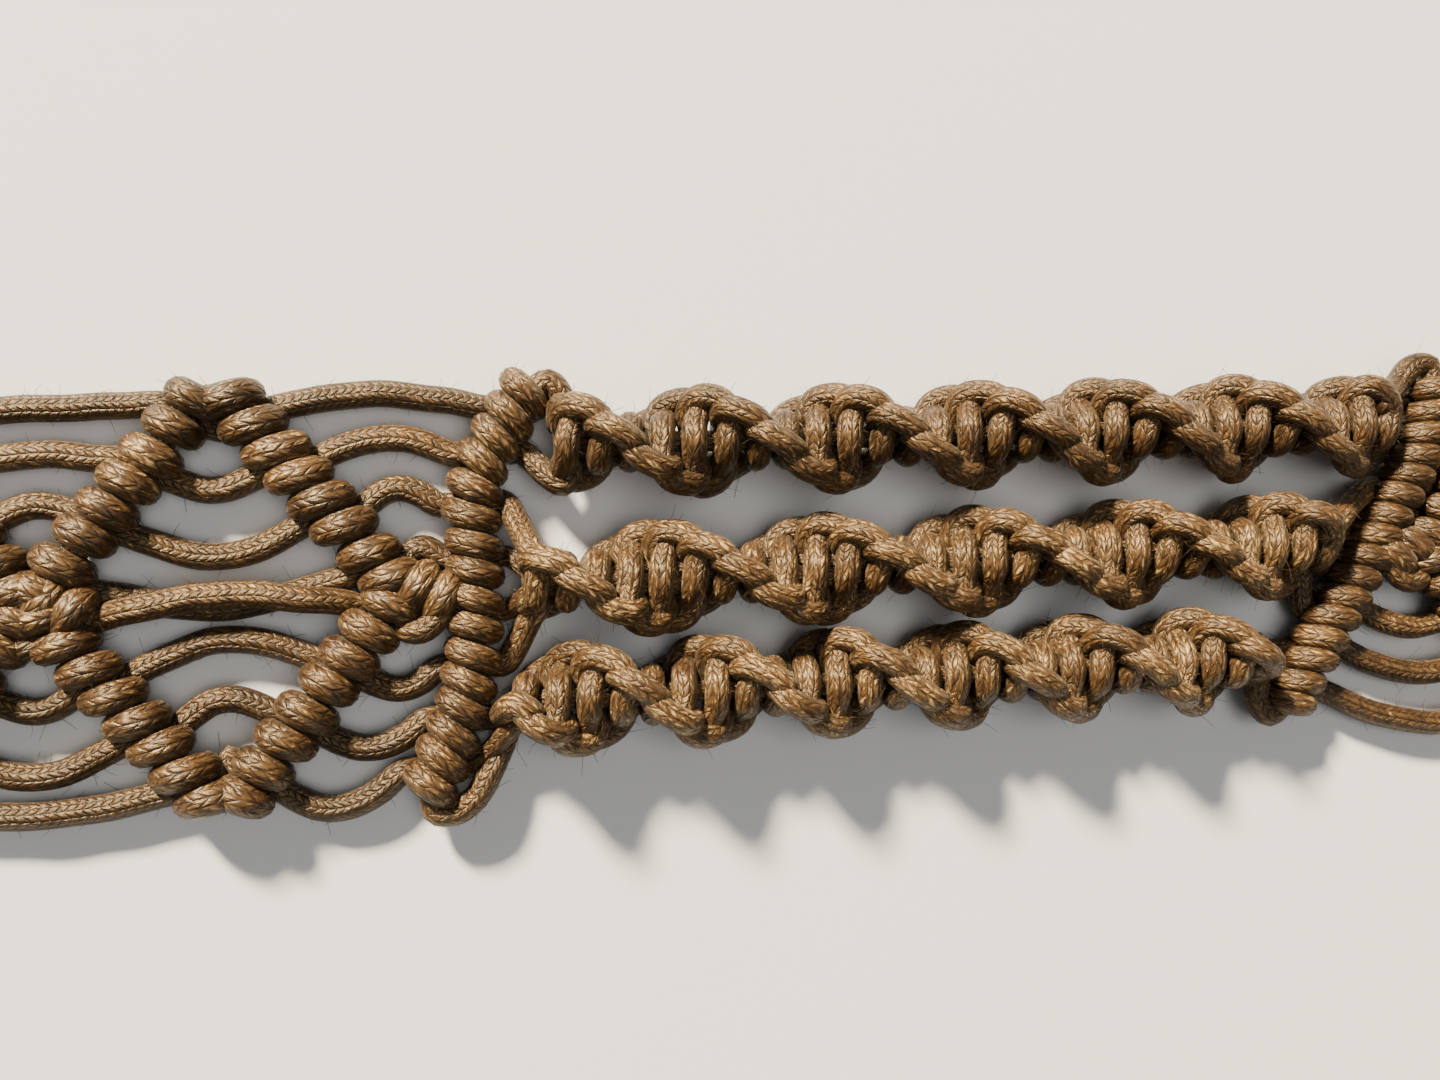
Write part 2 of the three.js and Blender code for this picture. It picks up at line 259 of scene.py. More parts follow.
class CordWork:
    """A piece that is made of swept cords.

    The stitches of one cord start up to pattern_shift millimetres past another's. Points nearer
    than merged, in metres, become one.
    """

    pattern_shift = 50.0
    merged = 1e-7

    def __init__(self, name: str, detail: Detail, hand: Hand) -> None:
        """Starts an empty piece.

        Args:
            name: Name of the finished piece.
            detail: How finely its cords are swept.
            hand: Source of its unevenness.
        """
        self.name = name
        self.detail = detail
        self.hand = hand
        self.cords: list[tuple[np.ndarray, float, bool]] = []

    def lay(self, route: np.ndarray, radius: float = CORD.pulled, closed: bool = False) -> None:
        """Adds a cord along a route that is already evenly sampled, lifted clear of the surface.

        Args:
            route: The cord's middle line in millimetres, with its radius there if it varies.
            radius: Its radius in millimetres where the route has none.
            closed: Whether the ends meet.
        """
        route = route.copy()
        route[:, 2] = np.maximum(route[:, 2], radii_of(route, radius))
        self.cords.append((route, radius, closed))

    def run(
        self, guides: Iterable[Sequence[float]], radius: float = CORD.pulled, uneven: float = 0.0
    ) -> None:
        """Adds a cord through guide points.

        Args:
            guides: Points that the cord passes through.
            radius: The cord's radius here.
            uneven: How far the cord may wander off its line.
        """
        route = smoothly(guides, self.detail.step)
        self.lay(self.hand.wander(route, uneven) if uneven else route, radius)

    def round_curve(self, roundness: int, capped: bool) -> bpy.types.Curve:
        """Starts a curve that is swept round, with radii in millimetres.

        Args:
            roundness: Blender's bevel resolution.
            capped: Whether its ends are closed.

        Returns:
            The curve, still without lines.
        """
        curve = bpy.data.curves.new(self.name, "CURVE")
        curve.dimensions = "3D"
        curve.bevel_depth = MILLIMETRE
        curve.bevel_resolution = roundness
        curve.use_fill_caps = capped
        return curve

    @staticmethod
    def add_line(curve: bpy.types.Curve, line: np.ndarray, radii: np.ndarray, closed: bool) -> None:
        """Adds a line to a curve.

        Args:
            curve: The curve.
            line: The line's points in millimetres.
            radii: The radius at each of them.
            closed: Whether the ends meet.
        """
        spline = curve.splines.new("POLY")
        spline.points.add(len(line) - 1)
        places = np.column_stack([line[:, :3] * MILLIMETRE, np.ones(len(line))])
        spline.points.foreach_set("co", places.ravel())
        spline.points.foreach_set("radius", radii)
        spline.use_cyclic_u = closed

    def meshed(self, curve: bpy.types.Curve, tone: float) -> bpy.types.Mesh:
        """Turns a curve into a mesh and removes the curve.

        Args:
            curve: The curve.
            tone: How light the cord is, for the material.

        Returns:
            The mesh, with the tone as an attribute.
        """
        sweeper = bpy.data.objects.new(self.name, curve)
        mesh = bpy.data.meshes.new_from_object(sweeper)
        bpy.data.objects.remove(sweeper)
        bpy.data.curves.remove(curve)
        tones = mesh.attributes.new("tone", "FLOAT", "POINT")
        tones.data.foreach_set("value", np.full(len(mesh.vertices), tone))
        return mesh

    def sweep(self, route: np.ndarray, radius: float, closed: bool) -> bpy.types.Mesh:
        """Sweeps one cord as a round curve and turns it into a mesh.

        Args:
            route: The cord's middle line in millimetres, with its radius there if it varies.
            radius: Its radius in millimetres where the route has none.
            closed: Whether the ends meet.

        Returns:
            The mesh, with a UV map of millimetres along and turns around.
        """
        shift = self.hand.between(0.0, self.pattern_shift)
        tone = self.hand.between(0.0, 1.0)
        curve = self.round_curve(self.detail.roundness, not closed)
        self.add_line(curve, route, radii_of(route, radius), closed)
        mesh = self.meshed(curve, tone)
        layer = mesh.uv_layers[0].data
        uv = np.empty(2 * len(layer))
        layer.foreach_get("uv", uv)
        uv[0::2] = uv[0::2] * distances(route)[-1] + shift
        layer.foreach_set("uv", uv)
        return mesh

    def fuzz(self) -> bpy.types.Mesh:
        """Grows short fibres out of the cords.

        Returns:
            Thin closed tubes, all in one mesh.
        """
        curve = self.round_curve(0, True)
        for route, radius, _ in self.cords:
            for start in self.hand.pick(len(route) - 2, FUZZ.per_step):
                along = route[start + 1, :3] - route[start, :3]
                hair = FUZZ.hair(route[start, :3], along, radius, self.hand)
                radii = FUZZ.radius * np.linspace(1.0, FUZZ.thinning, len(hair))
                self.add_line(curve, hair, radii, False)
        return self.meshed(curve, FUZZ.tone)

    def finish(self, material: bpy.types.Material, *nodes: str) -> bpy.types.Object:
        """Joins the cords into one object that stands for solids of the frame.

        Args:
            material: The finish of the piece.
            *nodes: The frame's nodes that the piece replaces.

        Returns:
            The finished object.
        """
        meshes = [self.sweep(*cord) for cord in self.cords]
        if self.detail is Detail.SHOWN:
            meshes.append(self.fuzz())
        work = bmesh.new()
        for mesh in meshes:
            work.from_mesh(mesh)
            bpy.data.meshes.remove(mesh)
        bmesh.ops.remove_doubles(work, verts=work.verts, dist=self.merged)
        bmesh.ops.recalc_face_normals(work, faces=work.faces)
        for face in work.faces:
            face.smooth = True
        joined = bpy.data.meshes.new(self.name)
        work.to_mesh(joined)
        work.free()
        joined.materials.append(material)
        piece = bpy.data.objects.new(self.name, joined)
        bpy.context.scene.collection.objects.link(piece)
        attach(piece, BODY)
        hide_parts(*nodes)
        return piece


@dataclass(frozen=True)
class Guide:
    """A guide point of a half knot, seen along its sinnet: angle in degrees, reach in millimetres
    from the axis, and place along it in knot pitches."""

    angle: float
    reach: float
    along: float


HALF_KNOT = (
    Guide(angle=-22.5, reach=3.3, along=-0.5),
    Guide(angle=-8.0, reach=3.5, along=-0.1),
    Guide(angle=2.0, reach=3.4, along=0.3),
    Guide(angle=20.0, reach=2.6, along=0.5),
    Guide(angle=50.0, reach=2.2, along=0.35),
    Guide(angle=90.0, reach=2.1, along=0.0),
    Guide(angle=130.0, reach=2.1, along=-0.25),
    Guide(angle=165.0, reach=2.1, along=-0.3),
    Guide(angle=190.0, reach=2.3, along=-0.15),
    Guide(angle=205.0, reach=2.9, along=0.15),
)


def turned(points: np.ndarray, angle: float, shift: float = 0.0) -> np.ndarray:
    """Screws points about the X axis.

    Args:
        points: The points, one row each.
        angle: How far they turn, in radians.
        shift: How far they move along the axis.

    Returns:
        The moved points.
    """
    cosine, sine = math.cos(angle), math.sin(angle)
    x = points[:, 0] + shift
    y = points[:, 1] * cosine - points[:, 2] * sine
    z = points[:, 1] * sine + points[:, 2] * cosine
    return np.stack([x, y, z], axis=1)


@dataclass(frozen=True)
class HalfKnotSpiral:
    """Half knots tied one after another round a core, which turn as they go.

    One cord's pass over the front, from the left edge to the right, is pulled tight here. Every
    other pass of both cords is the same one, screwed along the core. Core is the core's radius, and
    contact is the distance at which two cords press on each other. A cord doesn't press on its own
    points that are nearer along it than own_reach contacts. Compactness, slant and dive shape the
    loops of the tight pass, and the rest says how a round of the tightening works.
    """

    pitch: float
    half_turn: float
    core: float = 0.75
    contact: float = 1.52
    own_reach: float = 1.35
    pull: float = 0.2
    stiffness: float = 0.5
    give: float = 0.5
    damping: float = 0.5
    crowding: float = 0.35
    core_push: float = 0.8
    compactness: float = 0.26
    slant: float = 0.15
    dive: float = 0.08
    points: int = 22
    rounds: int = 500
    rounds_apart: int = 10
    neighbours: int = 3

    @property
    def turn(self) -> float:
        """Angle that the spiral gains with each knot."""
        return math.pi * self.pitch / self.half_turn

    def passed(self, one_pass: np.ndarray, count: int) -> np.ndarray:
        """The same cord's pass at a later knot, which crosses the other face each time."""
        return turned(one_pass, count * (self.turn + math.pi), count * self.pitch)

    def respaced(self, one_pass: np.ndarray) -> np.ndarray:
        """Spaces a pass's points evenly.

        Args:
            one_pass: The pass.

        Returns:
            The new points, up to just before where the next pass starts.
        """
        closed = np.vstack([one_pass, self.passed(one_pass[:1], 1)])
        return evenly(closed, distances(closed)[-1] / self.points)[:-1]

    def tightened(self) -> np.ndarray:
        """Pulls one pass tight between the core and the passes round it.

        Returns:
            The pass's points, around a core along X and in front of it.
        """
        angles = np.radians([guide.angle for guide in HALF_KNOT])
        reach = np.array([guide.reach for guide in HALF_KNOT])
        along = np.array([guide.along for guide in HALF_KNOT]) * self.pitch
        line = self.respaced(np.stack([along, reach * np.cos(angles), reach * np.sin(angles)], axis=1))
        near = range(-self.neighbours, self.neighbours + 1)
        order = np.concatenate([np.arange(self.points) + k * self.points for k in near])
        for step in range(1, self.rounds + 1):
            line = line + self.nudge(line, near, order)
            if step % self.rounds_apart == 0:
                line = self.respaced(line)
        return self.shaped(line)

    def shaped(self, line: np.ndarray) -> np.ndarray:
        """Shortens and slants the loops of a tight pass, and presses their ends into the core.

        Args:
            line: The tight pass.

        Returns:
            The shaped pass.
        """
        even = line[:, 0].mean() + self.pitch * ((np.arange(self.points) + 0.5) / self.points - 0.5)
        ahead = line[:, 0] - even
        angle = np.arctan2(line[:, 2], line[:, 1]) + self.slant * ahead
        reach = np.hypot(line[:, 1], line[:, 2])
        reach -= self.dive * (reach.max() - reach)
        x = even + (1.0 - self.compactness) * ahead
        return np.stack([x, reach * np.cos(angle), reach * np.sin(angle)], axis=1)

    def nudge(self, line: np.ndarray, near: range, order: np.ndarray) -> np.ndarray:
        """One small move of each point: along the pull, and out of what it presses on.

        Args:
            line: The pass so far.
            near: Counts of the passes before and after it that may touch it.
            order: Place of every point of those passes along the cord.

        Returns:
            The moves, one row for each point.
        """
        move = self.tension(line) + self.pressure(line, near, order)
        reach = np.hypot(line[:, 1], line[:, 2])
        sunk = np.maximum(0.0, self.core + self.contact / 2 - reach) / np.maximum(reach, TINY)
        move[:, 1:] += self.core_push * sunk[:, None] * line[:, 1:]
        return move

    def tension(self, line: np.ndarray) -> np.ndarray:
        """How the cord's pull and its stiffness move a pass.

        Args:
            line: The pass so far.

        Returns:
            The moves: towards the middle of each point's neighbours, and out of sharp bends.
        """
        ends = np.vstack([self.passed(line, -1)[-2:], line, self.passed(line, 1)[:2]])
        beside = ends[1:-3] + ends[3:-1]
        beyond = ends[:-4] + ends[4:]
        fourth_difference = 4 * beside - beyond - 6 * line
        full_zigzag = 16
        return self.pull * (beside / 2 - line) + self.stiffness * fourth_difference / full_zigzag

    def pressure(self, line: np.ndarray, near: range, order: np.ndarray) -> np.ndarray:
        """How the cords that a pass presses on move it.

        Args:
            line: The pass so far.
            near: Counts of the passes before and after it that may touch it.
            order: Place of every point of those passes along the cord.

        Returns:
            The moves away from its own cord and from its partner.
        """
        same = np.vstack([self.passed(line, k) for k in near])
        other = same * [1, -1, -1]
        spacing = float(np.linalg.norm(line[1] - line[0]))
        skipped = math.ceil(self.own_reach * self.contact / spacing)
        apart = np.abs(order[None, :] - np.arange(self.points)[:, None]) > skipped
        push = np.zeros_like(line)
        touching = np.zeros(self.points)
        for cord, allowed in ((same, apart), (other, np.ones_like(apart))):
            away = line[:, None, :] - cord[None, :, :]
            distance = np.linalg.norm(away, axis=2)
            pressed = (distance < self.contact) & allowed
            share = np.where(pressed, (self.contact - distance) / np.maximum(distance, TINY), 0.0)
            push += self.give * (share[:, :, None] * away).sum(axis=1)
            touching += pressed.sum(axis=1)
        return self.damping * push / np.maximum(1.0, self.crowding * touching)[:, None]


@cache
def tight_pass(pitch: float, half_turn: float) -> np.ndarray:
    """One tightened pass of a spiral, worked out once for each pitch and twist."""
    return HalfKnotSpiral(pitch, half_turn).tightened()


@dataclass(frozen=True)
class Turn:
    """A guide point seen from a bar: its place along the bar's line, ahead of it and above it. A
    hitch has the first in wrap pitches and the others in reaches of the wrap. A leader has all three
    in millimetres, the first counted outwards from the bar's end."""

    along: float
    ahead: float
    above: float


HITCH = (
    Turn(along=0.10, ahead=-1.15, above=-0.62),
    Turn(along=-0.15, ahead=-0.45, above=-0.85),
    Turn(along=-0.50, ahead=0.35, above=-0.88),
    Turn(along=-0.62, ahead=0.92, above=-0.30),
    Turn(along=-0.58, ahead=0.86, above=0.48),
    Turn(along=-0.50, ahead=0.00, above=1.00),
    Turn(along=-0.42, ahead=-0.88, above=0.45),
    Turn(along=-0.36, ahead=-0.98, above=-0.35),
    Turn(along=-0.10, ahead=-0.35, above=-1.00),
    Turn(along=0.25, ahead=0.45, above=-0.98),
    Turn(along=0.38, ahead=0.98, above=-0.30),
    Turn(along=0.42, ahead=0.86, above=0.48),
    Turn(along=0.50, ahead=0.00, above=1.00),
    Turn(along=0.58, ahead=-0.88, above=0.45),
    Turn(along=0.62, ahead=-0.92, above=-0.35),
    Turn(along=0.50, ahead=-0.30, above=-0.80),
    Turn(along=0.20, ahead=0.45, above=-0.75),
    Turn(along=-0.05, ahead=1.15, above=-0.62),
)

LEADER_TURN = (
    Turn(along=-6.0, ahead=0.35, above=0.0),
    Turn(along=-3.0, ahead=0.35, above=0.0),
    Turn(along=-1.2, ahead=0.35, above=0.0),
    Turn(along=0.75, ahead=1.0, above=0.1),
    Turn(along=0.2, ahead=2.5, above=0.1),
    Turn(along=-1.5, ahead=3.4, above=0.3),
)


class BarLine:
    """The line of a leader cord that fillers are hitched round, seen from above.

    Its points lie step millimetres apart. A wrap is plump from swell_start reaches below the line's
    height, and plumpest half a reach above it.
    """

    step = 0.2
    swell_start = 0.5

    def __init__(self, guides: Sequence[Sequence[float]], height: float, reach: float) -> None:
        """Draws the line.

        Args:
            guides: Points in plan that the line passes through.
            height: Height of the line above the surface.
            reach: Distance from it to the middle of a cord that is wrapped round it.
        """
        flat = np.array([(*point[:2], height) for point in guides], float)
        self.route = smoothly(flat, self.step) if len(flat) > 2 else evenly(flat, self.step)
        self.along = distances(self.route)
        self.slope = np.gradient(self.route, self.along, axis=0)
        self.reach = reach

    @property
    def length(self) -> float:
        """Length of the line."""
        return float(self.along[-1])

    def place(self, along: float, ahead: float, above: float) -> np.ndarray:
        """A point beside the line.

        Args:
            along: Distance from the line's start.
            ahead: Distance to its side, on the side that lies ahead along the belt.
            above: Distance above it.

        Returns:
            The point.
        """
        middle = np.array([np.interp(along, self.along, self.route[:, axis]) for axis in range(3)])
        slope = np.array([np.interp(along, self.along, self.slope[:, axis]) for axis in range(3)])
        overshoot = along - min(max(along, 0.0), self.length)
        side = np.array([slope[1], -slope[0], 0.0])
        side *= math.copysign(1.0, side[0]) / max(np.linalg.norm(side), TINY)
        return middle + overshoot * slope + ahead * side + [0.0, 0.0, above]

    def points(self, shares: Iterable[float]) -> list[np.ndarray]:
        """Points on the line, at shares of its length."""
        return [self.place(share * self.length, 0.0, 0.0) for share in shares]

    def hitch(self, along: float, pitch: float, lean: float, lift: float, plump: float) -> np.ndarray:
        """Guide points of a double half hitch round the line.

        Args:
            along: Where its middle lies.
            pitch: Distance between its two wraps.
            lean: How far along the line a wrap runs for each step ahead.
            lift: How far the wraps stand proud.
            plump: Radius of the cord on top of the line.

        Returns:
            The guide points with their radii, from behind the line to ahead of it.
        """
        reach = self.reach + lift
        guides = []
        for turn in HITCH:
            shift = turn.along * pitch + lean * turn.ahead * reach
            share = min(1.0, max(0.0, turn.above + self.swell_start))
            radius = CORD.pulled + (plump - CORD.pulled) * share
            place = self.place(along + shift, turn.ahead * reach, turn.above * reach)
            guides.append([*place, radius])
        return np.array(guides)


@dataclass(frozen=True)
class Bend:
    """A point of a cross bar's line: its place across the belt and how far ahead it runs there,
    both as shares of half the bar's span."""

    across: float
    ahead: float


class BarShape(Enum):
    """The three lines that cross bars take."""

    STRAIGHT = (Bend(-1.0, 0.0), Bend(1.0, 0.0))
    BENT = (Bend(-0.96, -0.26), Bend(-0.5, -0.06), Bend(0.0, 0.0), Bend(0.5, 0.02), Bend(0.95, 0.29))
    SLANTED = (Bend(-0.82, -0.52), Bend(-0.5, -0.33), Bend(0.0, 0.0), Bend(0.5, 0.31), Bend(0.88, 0.45))

    def ahead(self, across: float) -> float:
        """How far ahead the line runs at a place across the belt."""
        places, runs = zip(*((bend.across, bend.ahead) for bend in self.value))
        return float(np.interp(across, places, runs))


@dataclass(frozen=True)
class BeltPlan:
    """The sizes that the belt's pieces share, in millimetres."""

    fillers: int = 8
    wrap_pitch: float = 1.94
    bar_height: float = 2.15
    wrap_reach: float = 1.2
    sinnet_spacing: float = 9.1
    bar_face: float = 2.45
    tip_gap_outer: float = 5.2
    tip_gap_inner: float = 4.6
    diamonds: int = 2
    diamond_half_length: float = 12.5
    diamond_half_width: float = 14.8
    peak_gap: float = 0.45

    @property
    def half_span(self) -> float:
        """Half the length of a cross bar."""
        return self.fillers * self.wrap_pitch

    @property
    def net_length(self) -> float:
        """Distance from a net's first tip to its last."""
        return 2 * self.diamonds * self.diamond_half_length

    def filler_places(self) -> list[float]:
        """Where the fillers cross a bar, from the near edge to the far one."""
        half = self.half_span
        return [-half + (2 * i + 1) * self.wrap_pitch for i in range(self.fillers)]


PLAN = BeltPlan()


@dataclass(frozen=True)
class Unevenness:
    """How much the hitches of a piece differ, in millimetres: the ranges in which one is shifted
    along its bar, swells and stands proud, and how far its cord wanders."""

    shift: tuple[float, float]
    swell: tuple[float, float]
    lift: tuple[float, float]
    wander: float


BAR_UNEVENNESS = Unevenness(shift=(-0.1, 0.1), swell=(-0.02, 0.05), lift=(-0.05, 0.12), wander=0.05)
NET_UNEVENNESS = Unevenness(shift=(-0.1, 0.1), swell=(-0.05, 0.04), lift=(-0.03, 0.14), wander=0.06)


@dataclass
class CrossBar:
    """A bar of hitches across the belt.

    Its leaders turn out of both ends of it, ahead (1) or back (-1) into the outer sinnets.
    """

    name: str
    x: float
    turns: tuple[int, ...]
    shape: BarShape = BarShape.STRAIGHT
    detail: Detail = Detail.PLAIN
    lean: float = -0.16
    plump: float = 1.0
    leader_shares: tuple[float, ...] = (0.02, 0.35, 0.65, 0.98)

    def at(self, y: float) -> float:
        """The place along the belt of the bar's line at y."""
        return self.x + self.shape.ahead(y / PLAN.half_span) * PLAN.half_span

    def crossing(self, y: float) -> tuple[float, float]:
        """Where a filler crosses the bar.

        Args:
            y: Where it would cross a straight bar.

        Returns:
            The crossing's places along and across the belt.
        """
        (place,) = self.line().points([(y / PLAN.half_span + 1) / 2])
        return float(place[0]), float(place[1])

    def line(self) -> BarLine:
        """The bar's line.

        Returns:
            The line, from the near end to the far one.
        """
        half = PLAN.half_span
        guides = [(self.x + bend.ahead * half, bend.across * half) for bend in self.shape.value]
        return BarLine(guides, PLAN.bar_height, PLAN.wrap_reach)

    def turn_of_leader(self, side: int, direction: int) -> np.ndarray:
        """Guide points of a leader from inside the bar to where it leaves for the outer sinnet.

        Args:
            side: 1 for the far end of the bar, -1 for the near one.
            direction: 1 where it turns ahead, -1 where it turns back.

        Returns:
            The guide points.
        """
        line = self.line()
        end = line.length if side > 0 else 0.0
        guides = []
        for turn in LEADER_TURN:
            guides.append(line.place(end + side * turn.along, direction * turn.ahead, turn.above))
        return np.array(guides)

    def build(self, material: bpy.types.Material, hand: Hand) -> bpy.types.Object:
        """Makes the bar.

        Args:
            material: Its finish.
            hand: Source of its unevenness.

        Returns:
            The finished piece.
        """
        work = CordWork(self.name + "_hitches", self.detail, hand)
        line = self.line()
        pitch = line.length / (2 * PLAN.fillers)
        for i in range(PLAN.fillers):
            along = (2 * i + 1) * pitch + hand.between(*BAR_UNEVENNESS.shift)
            plump = self.plump + hand.between(*BAR_UNEVENNESS.swell)
            lift = hand.between(*BAR_UNEVENNESS.lift)
            guides = line.hitch(along, pitch, self.lean, lift, plump)
            work.run(guides, uneven=BAR_UNEVENNESS.wander)
        work.run(line.points(self.leader_shares))
        for side in (-1, 1):
            for direction in self.turns:
                work.run(self.turn_of_leader(side, direction))
        return work.finish(material, self.name)


class Row(Enum):
    """The three sinnets of a stretch, by their place across the belt."""

    NEAR = -1
    MIDDLE = 0
    FAR = 1

    @property
    def label(self) -> str:
        """The row's name in the frame's nodes."""
        return self.name.lower()


@dataclass(frozen=True)
class Twist:
    """How a sinnet is worked: its half turn's length in millimetres, the first ridge's angle in
    degrees, and how far its axis lies off its line at either end."""

    half_turn: float
    phase: float
    sway: tuple[float, float] = (0.0, 0.0)


CENTRE_TWISTS = {
    Row.NEAR: Twist(half_turn=9.4, phase=91.5, sway=(0.8, 1.0)),
    Row.MIDDLE: Twist(half_turn=12.0, phase=35.0, sway=(0.1, 0.5)),
    Row.FAR: Twist(half_turn=10.55, phase=12.0, sway=(0.9, 0.6)),
}
SIDE_TWIST = Twist(half_turn=9.2, phase=30.0)
FILLER_EXIT = ((1.4, 1.35), (2.3, 1.45))


@dataclass
class Sinnet:
    """A spiral sinnet between two bars, in millimetres.

    Drawn_in is the share of its reach that it loses at its ends, over the length of the taper.
    Trimmed counts the points that a knotted cord gives up at either end to run on into the bar.
    """

    left: CrossBar
    right: CrossBar
    row: Row
    twist: Twist
    height: float = 4.15
    pitch: float = 2.3
    lead_in: float = 0.3
    half_width: float = 2.6
    drawn_in: float = 0.3
    taper: float = 3.5
    trimmed: int = 3
    core_apart: float = 0.55
    core_inset: float = 0.05
    core_points: int = 22
    uneven: float = 0.07

    @property
    def y(self) -> float:
        """Place of its axis across the belt."""
        return self.row.value * PLAN.sinnet_spacing

    @property
    def start(self) -> float:
        """Where it comes clear of the left bar."""
        return max(self.left.at(self.y + side * self.half_width) for side in (-1, 0, 1)) + PLAN.bar_face

    @property
    def end(self) -> float:
        """Where it meets the right bar."""
        return min(self.right.at(self.y + side * self.half_width) for side in (-1, 0, 1)) - PLAN.bar_face

    def feeders(self, bar: CrossBar, direction: int) -> tuple[list[np.ndarray], list[np.ndarray]]:
        """Where the cords come out of a bar: those that are knotted and those of the core.

        Args:
            bar: The bar.
            direction: 1 where the sinnet lies ahead of it, -1 where it lies behind it.

        Returns:
            Guide points of each knotted cord and each core cord, ordered across the belt.
        """
        places = PLAN.filler_places()
        half = PLAN.fillers // 2
        if self.row is Row.MIDDLE:
            inner = places[half - 2:half + 2]
            return (
                [self.out_of(bar, y, direction) for y in (inner[0], inner[-1])],
                [self.out_of(bar, y, direction) for y in inner[1:-1]],
            )
        outer, next_in = (places[-1], places[-2]) if self.row is Row.FAR else (places[0], places[1])
        leader = bar.turn_of_leader(self.row.value, direction)[-2:]
        knotted = sorted([leader, self.out_of(bar, next_in, direction)], key=lambda cord: cord[-1][1])
        return knotted, [self.out_of(bar, outer, direction)]

    @staticmethod
    def out_of(bar: CrossBar, y: float, direction: int) -> np.ndarray:
        """Guide points of a filler where it leaves the bar's underside."""
        x, y = bar.crossing(y)
        return np.array([(x + direction * ahead, y, height) for ahead, height in FILLER_EXIT])

    def lay_in(self, work: CordWork) -> None:
        """Lays the sinnet's cords in a piece. Sinnets of one length share a tightened pass.

        Args:
            work: The piece.
        """
        span = self.end - self.start - 2 * self.lead_in
        knots = round(span / self.pitch)
        pitch = round(span / knots, 3)
        spiral = HalfKnotSpiral(pitch, self.twist.half_turn)
        one_pass = tight_pass(pitch, self.twist.half_turn)
        knotted = []
        for flip in (0.0, math.pi):
            passes = [turned(spiral.passed(one_pass, k), flip) for k in range(knots)]
            route = turned(np.vstack(passes), math.radians(self.twist.phase) - math.pi)
            route[:, 0] += self.start + self.lead_in + pitch / 2
            knotted.append(self.drawn(route))
        knotted.sort(key=lambda route: route[0][1])
        entries, core_entries = self.feeders(self.left, 1)
        exits, core_exits = self.feeders(self.right, -1)
        ends = sorted(range(2), key=lambda number: knotted[number][-1][1])
        leaving = {number: exits[rank][::-1] for rank, number in enumerate(ends)}
        for number, (entry, route) in enumerate(zip(entries, knotted)):
            kept = route[self.trimmed:-self.trimmed]
            work.run(np.vstack([entry, kept, leaving[number]]), CORD.pulled, self.uneven)
        self.lay_core(work, core_entries, core_exits)

    def axis_at(self, x: np.ndarray) -> np.ndarray:
        """Where the sinnet's axis lies across the belt.

        Args:
            x: Places along the belt.

        Returns:
            The axis' place across it at each of them.
        """
        first, last = self.twist.sway
        share = (x - self.start) / (self.end - self.start)
        return self.y + first + (last - first) * share

    def drawn(self, route: np.ndarray) -> np.ndarray:
        """Draws a cord in towards the sinnet's ends and moves it from the X axis to its place.

        Args:
            route: The cord, round the X axis.

        Returns:
            The moved cord.
        """
        to_end = np.minimum(route[:, 0] - self.start, self.end - route[:, 0])
        share = 1.0 - self.drawn_in * np.clip(1.0 - to_end / self.taper, 0.0, 1.0) ** 2
        moved = route.copy()
        moved[:, 1] = self.axis_at(route[:, 0]) + route[:, 1] * share
        moved[:, 2] = (self.height + route[:, 2]) * share
        return moved

    def lay_core(self, work: CordWork, entries: list[np.ndarray], exits: list[np.ndarray]) -> None:
        """Lays the straight cords that the knots are tied round.

        Args:
            work: The piece that they are part of.
            entries: Guide points of each one where it leaves the left bar.
            exits: The same at the right bar.
        """
        apart = self.core_apart if len(entries) > 1 else 0.0
        share = np.linspace(self.core_inset, 1.0 - self.core_inset, self.core_points)
        x = self.start + share * (self.end - self.start)
        for core, (entry, leave) in enumerate(zip(entries, exits)):
            angle = (x - self.start) / self.twist.half_turn * math.pi + core * math.pi
            y = self.axis_at(x) + apart * np.cos(angle)
            z = self.height + apart * np.sin(angle)
            route = np.stack([x, y, z], axis=1)
            work.run(np.vstack([entry, route, leave[::-1]]), CORD.hidden)


@dataclass(frozen=True)
class Slack:
    """How far a filler bows inside a diamond, between two diamonds and beside the net's cross bars,
    in millimetres towards the belt's edge, and how high its loose stretches lie."""

    inside: float
    between: float
    beside: float
    height: float


FAR_SLACK = (
    Slack(inside=-0.6, between=0.3, beside=1.1, height=1.3),
    Slack(inside=-1.1, between=0.8, beside=1.3, height=1.3),
    Slack(inside=-2.2, between=0.9, beside=1.4, height=1.3),
    Slack(inside=-2.0, between=0.6, beside=0.9, height=1.05),
)
NEAR_SLACK = (
    Slack(inside=-1.2, between=1.2, beside=2.1, height=1.3),
    Slack(inside=-1.6, between=2.2, beside=1.5, height=1.3),
    Slack(inside=-2.1, between=1.3, beside=1.2, height=1.3),
    Slack(inside=-1.6, between=0.8, beside=0.8, height=2.9),
)


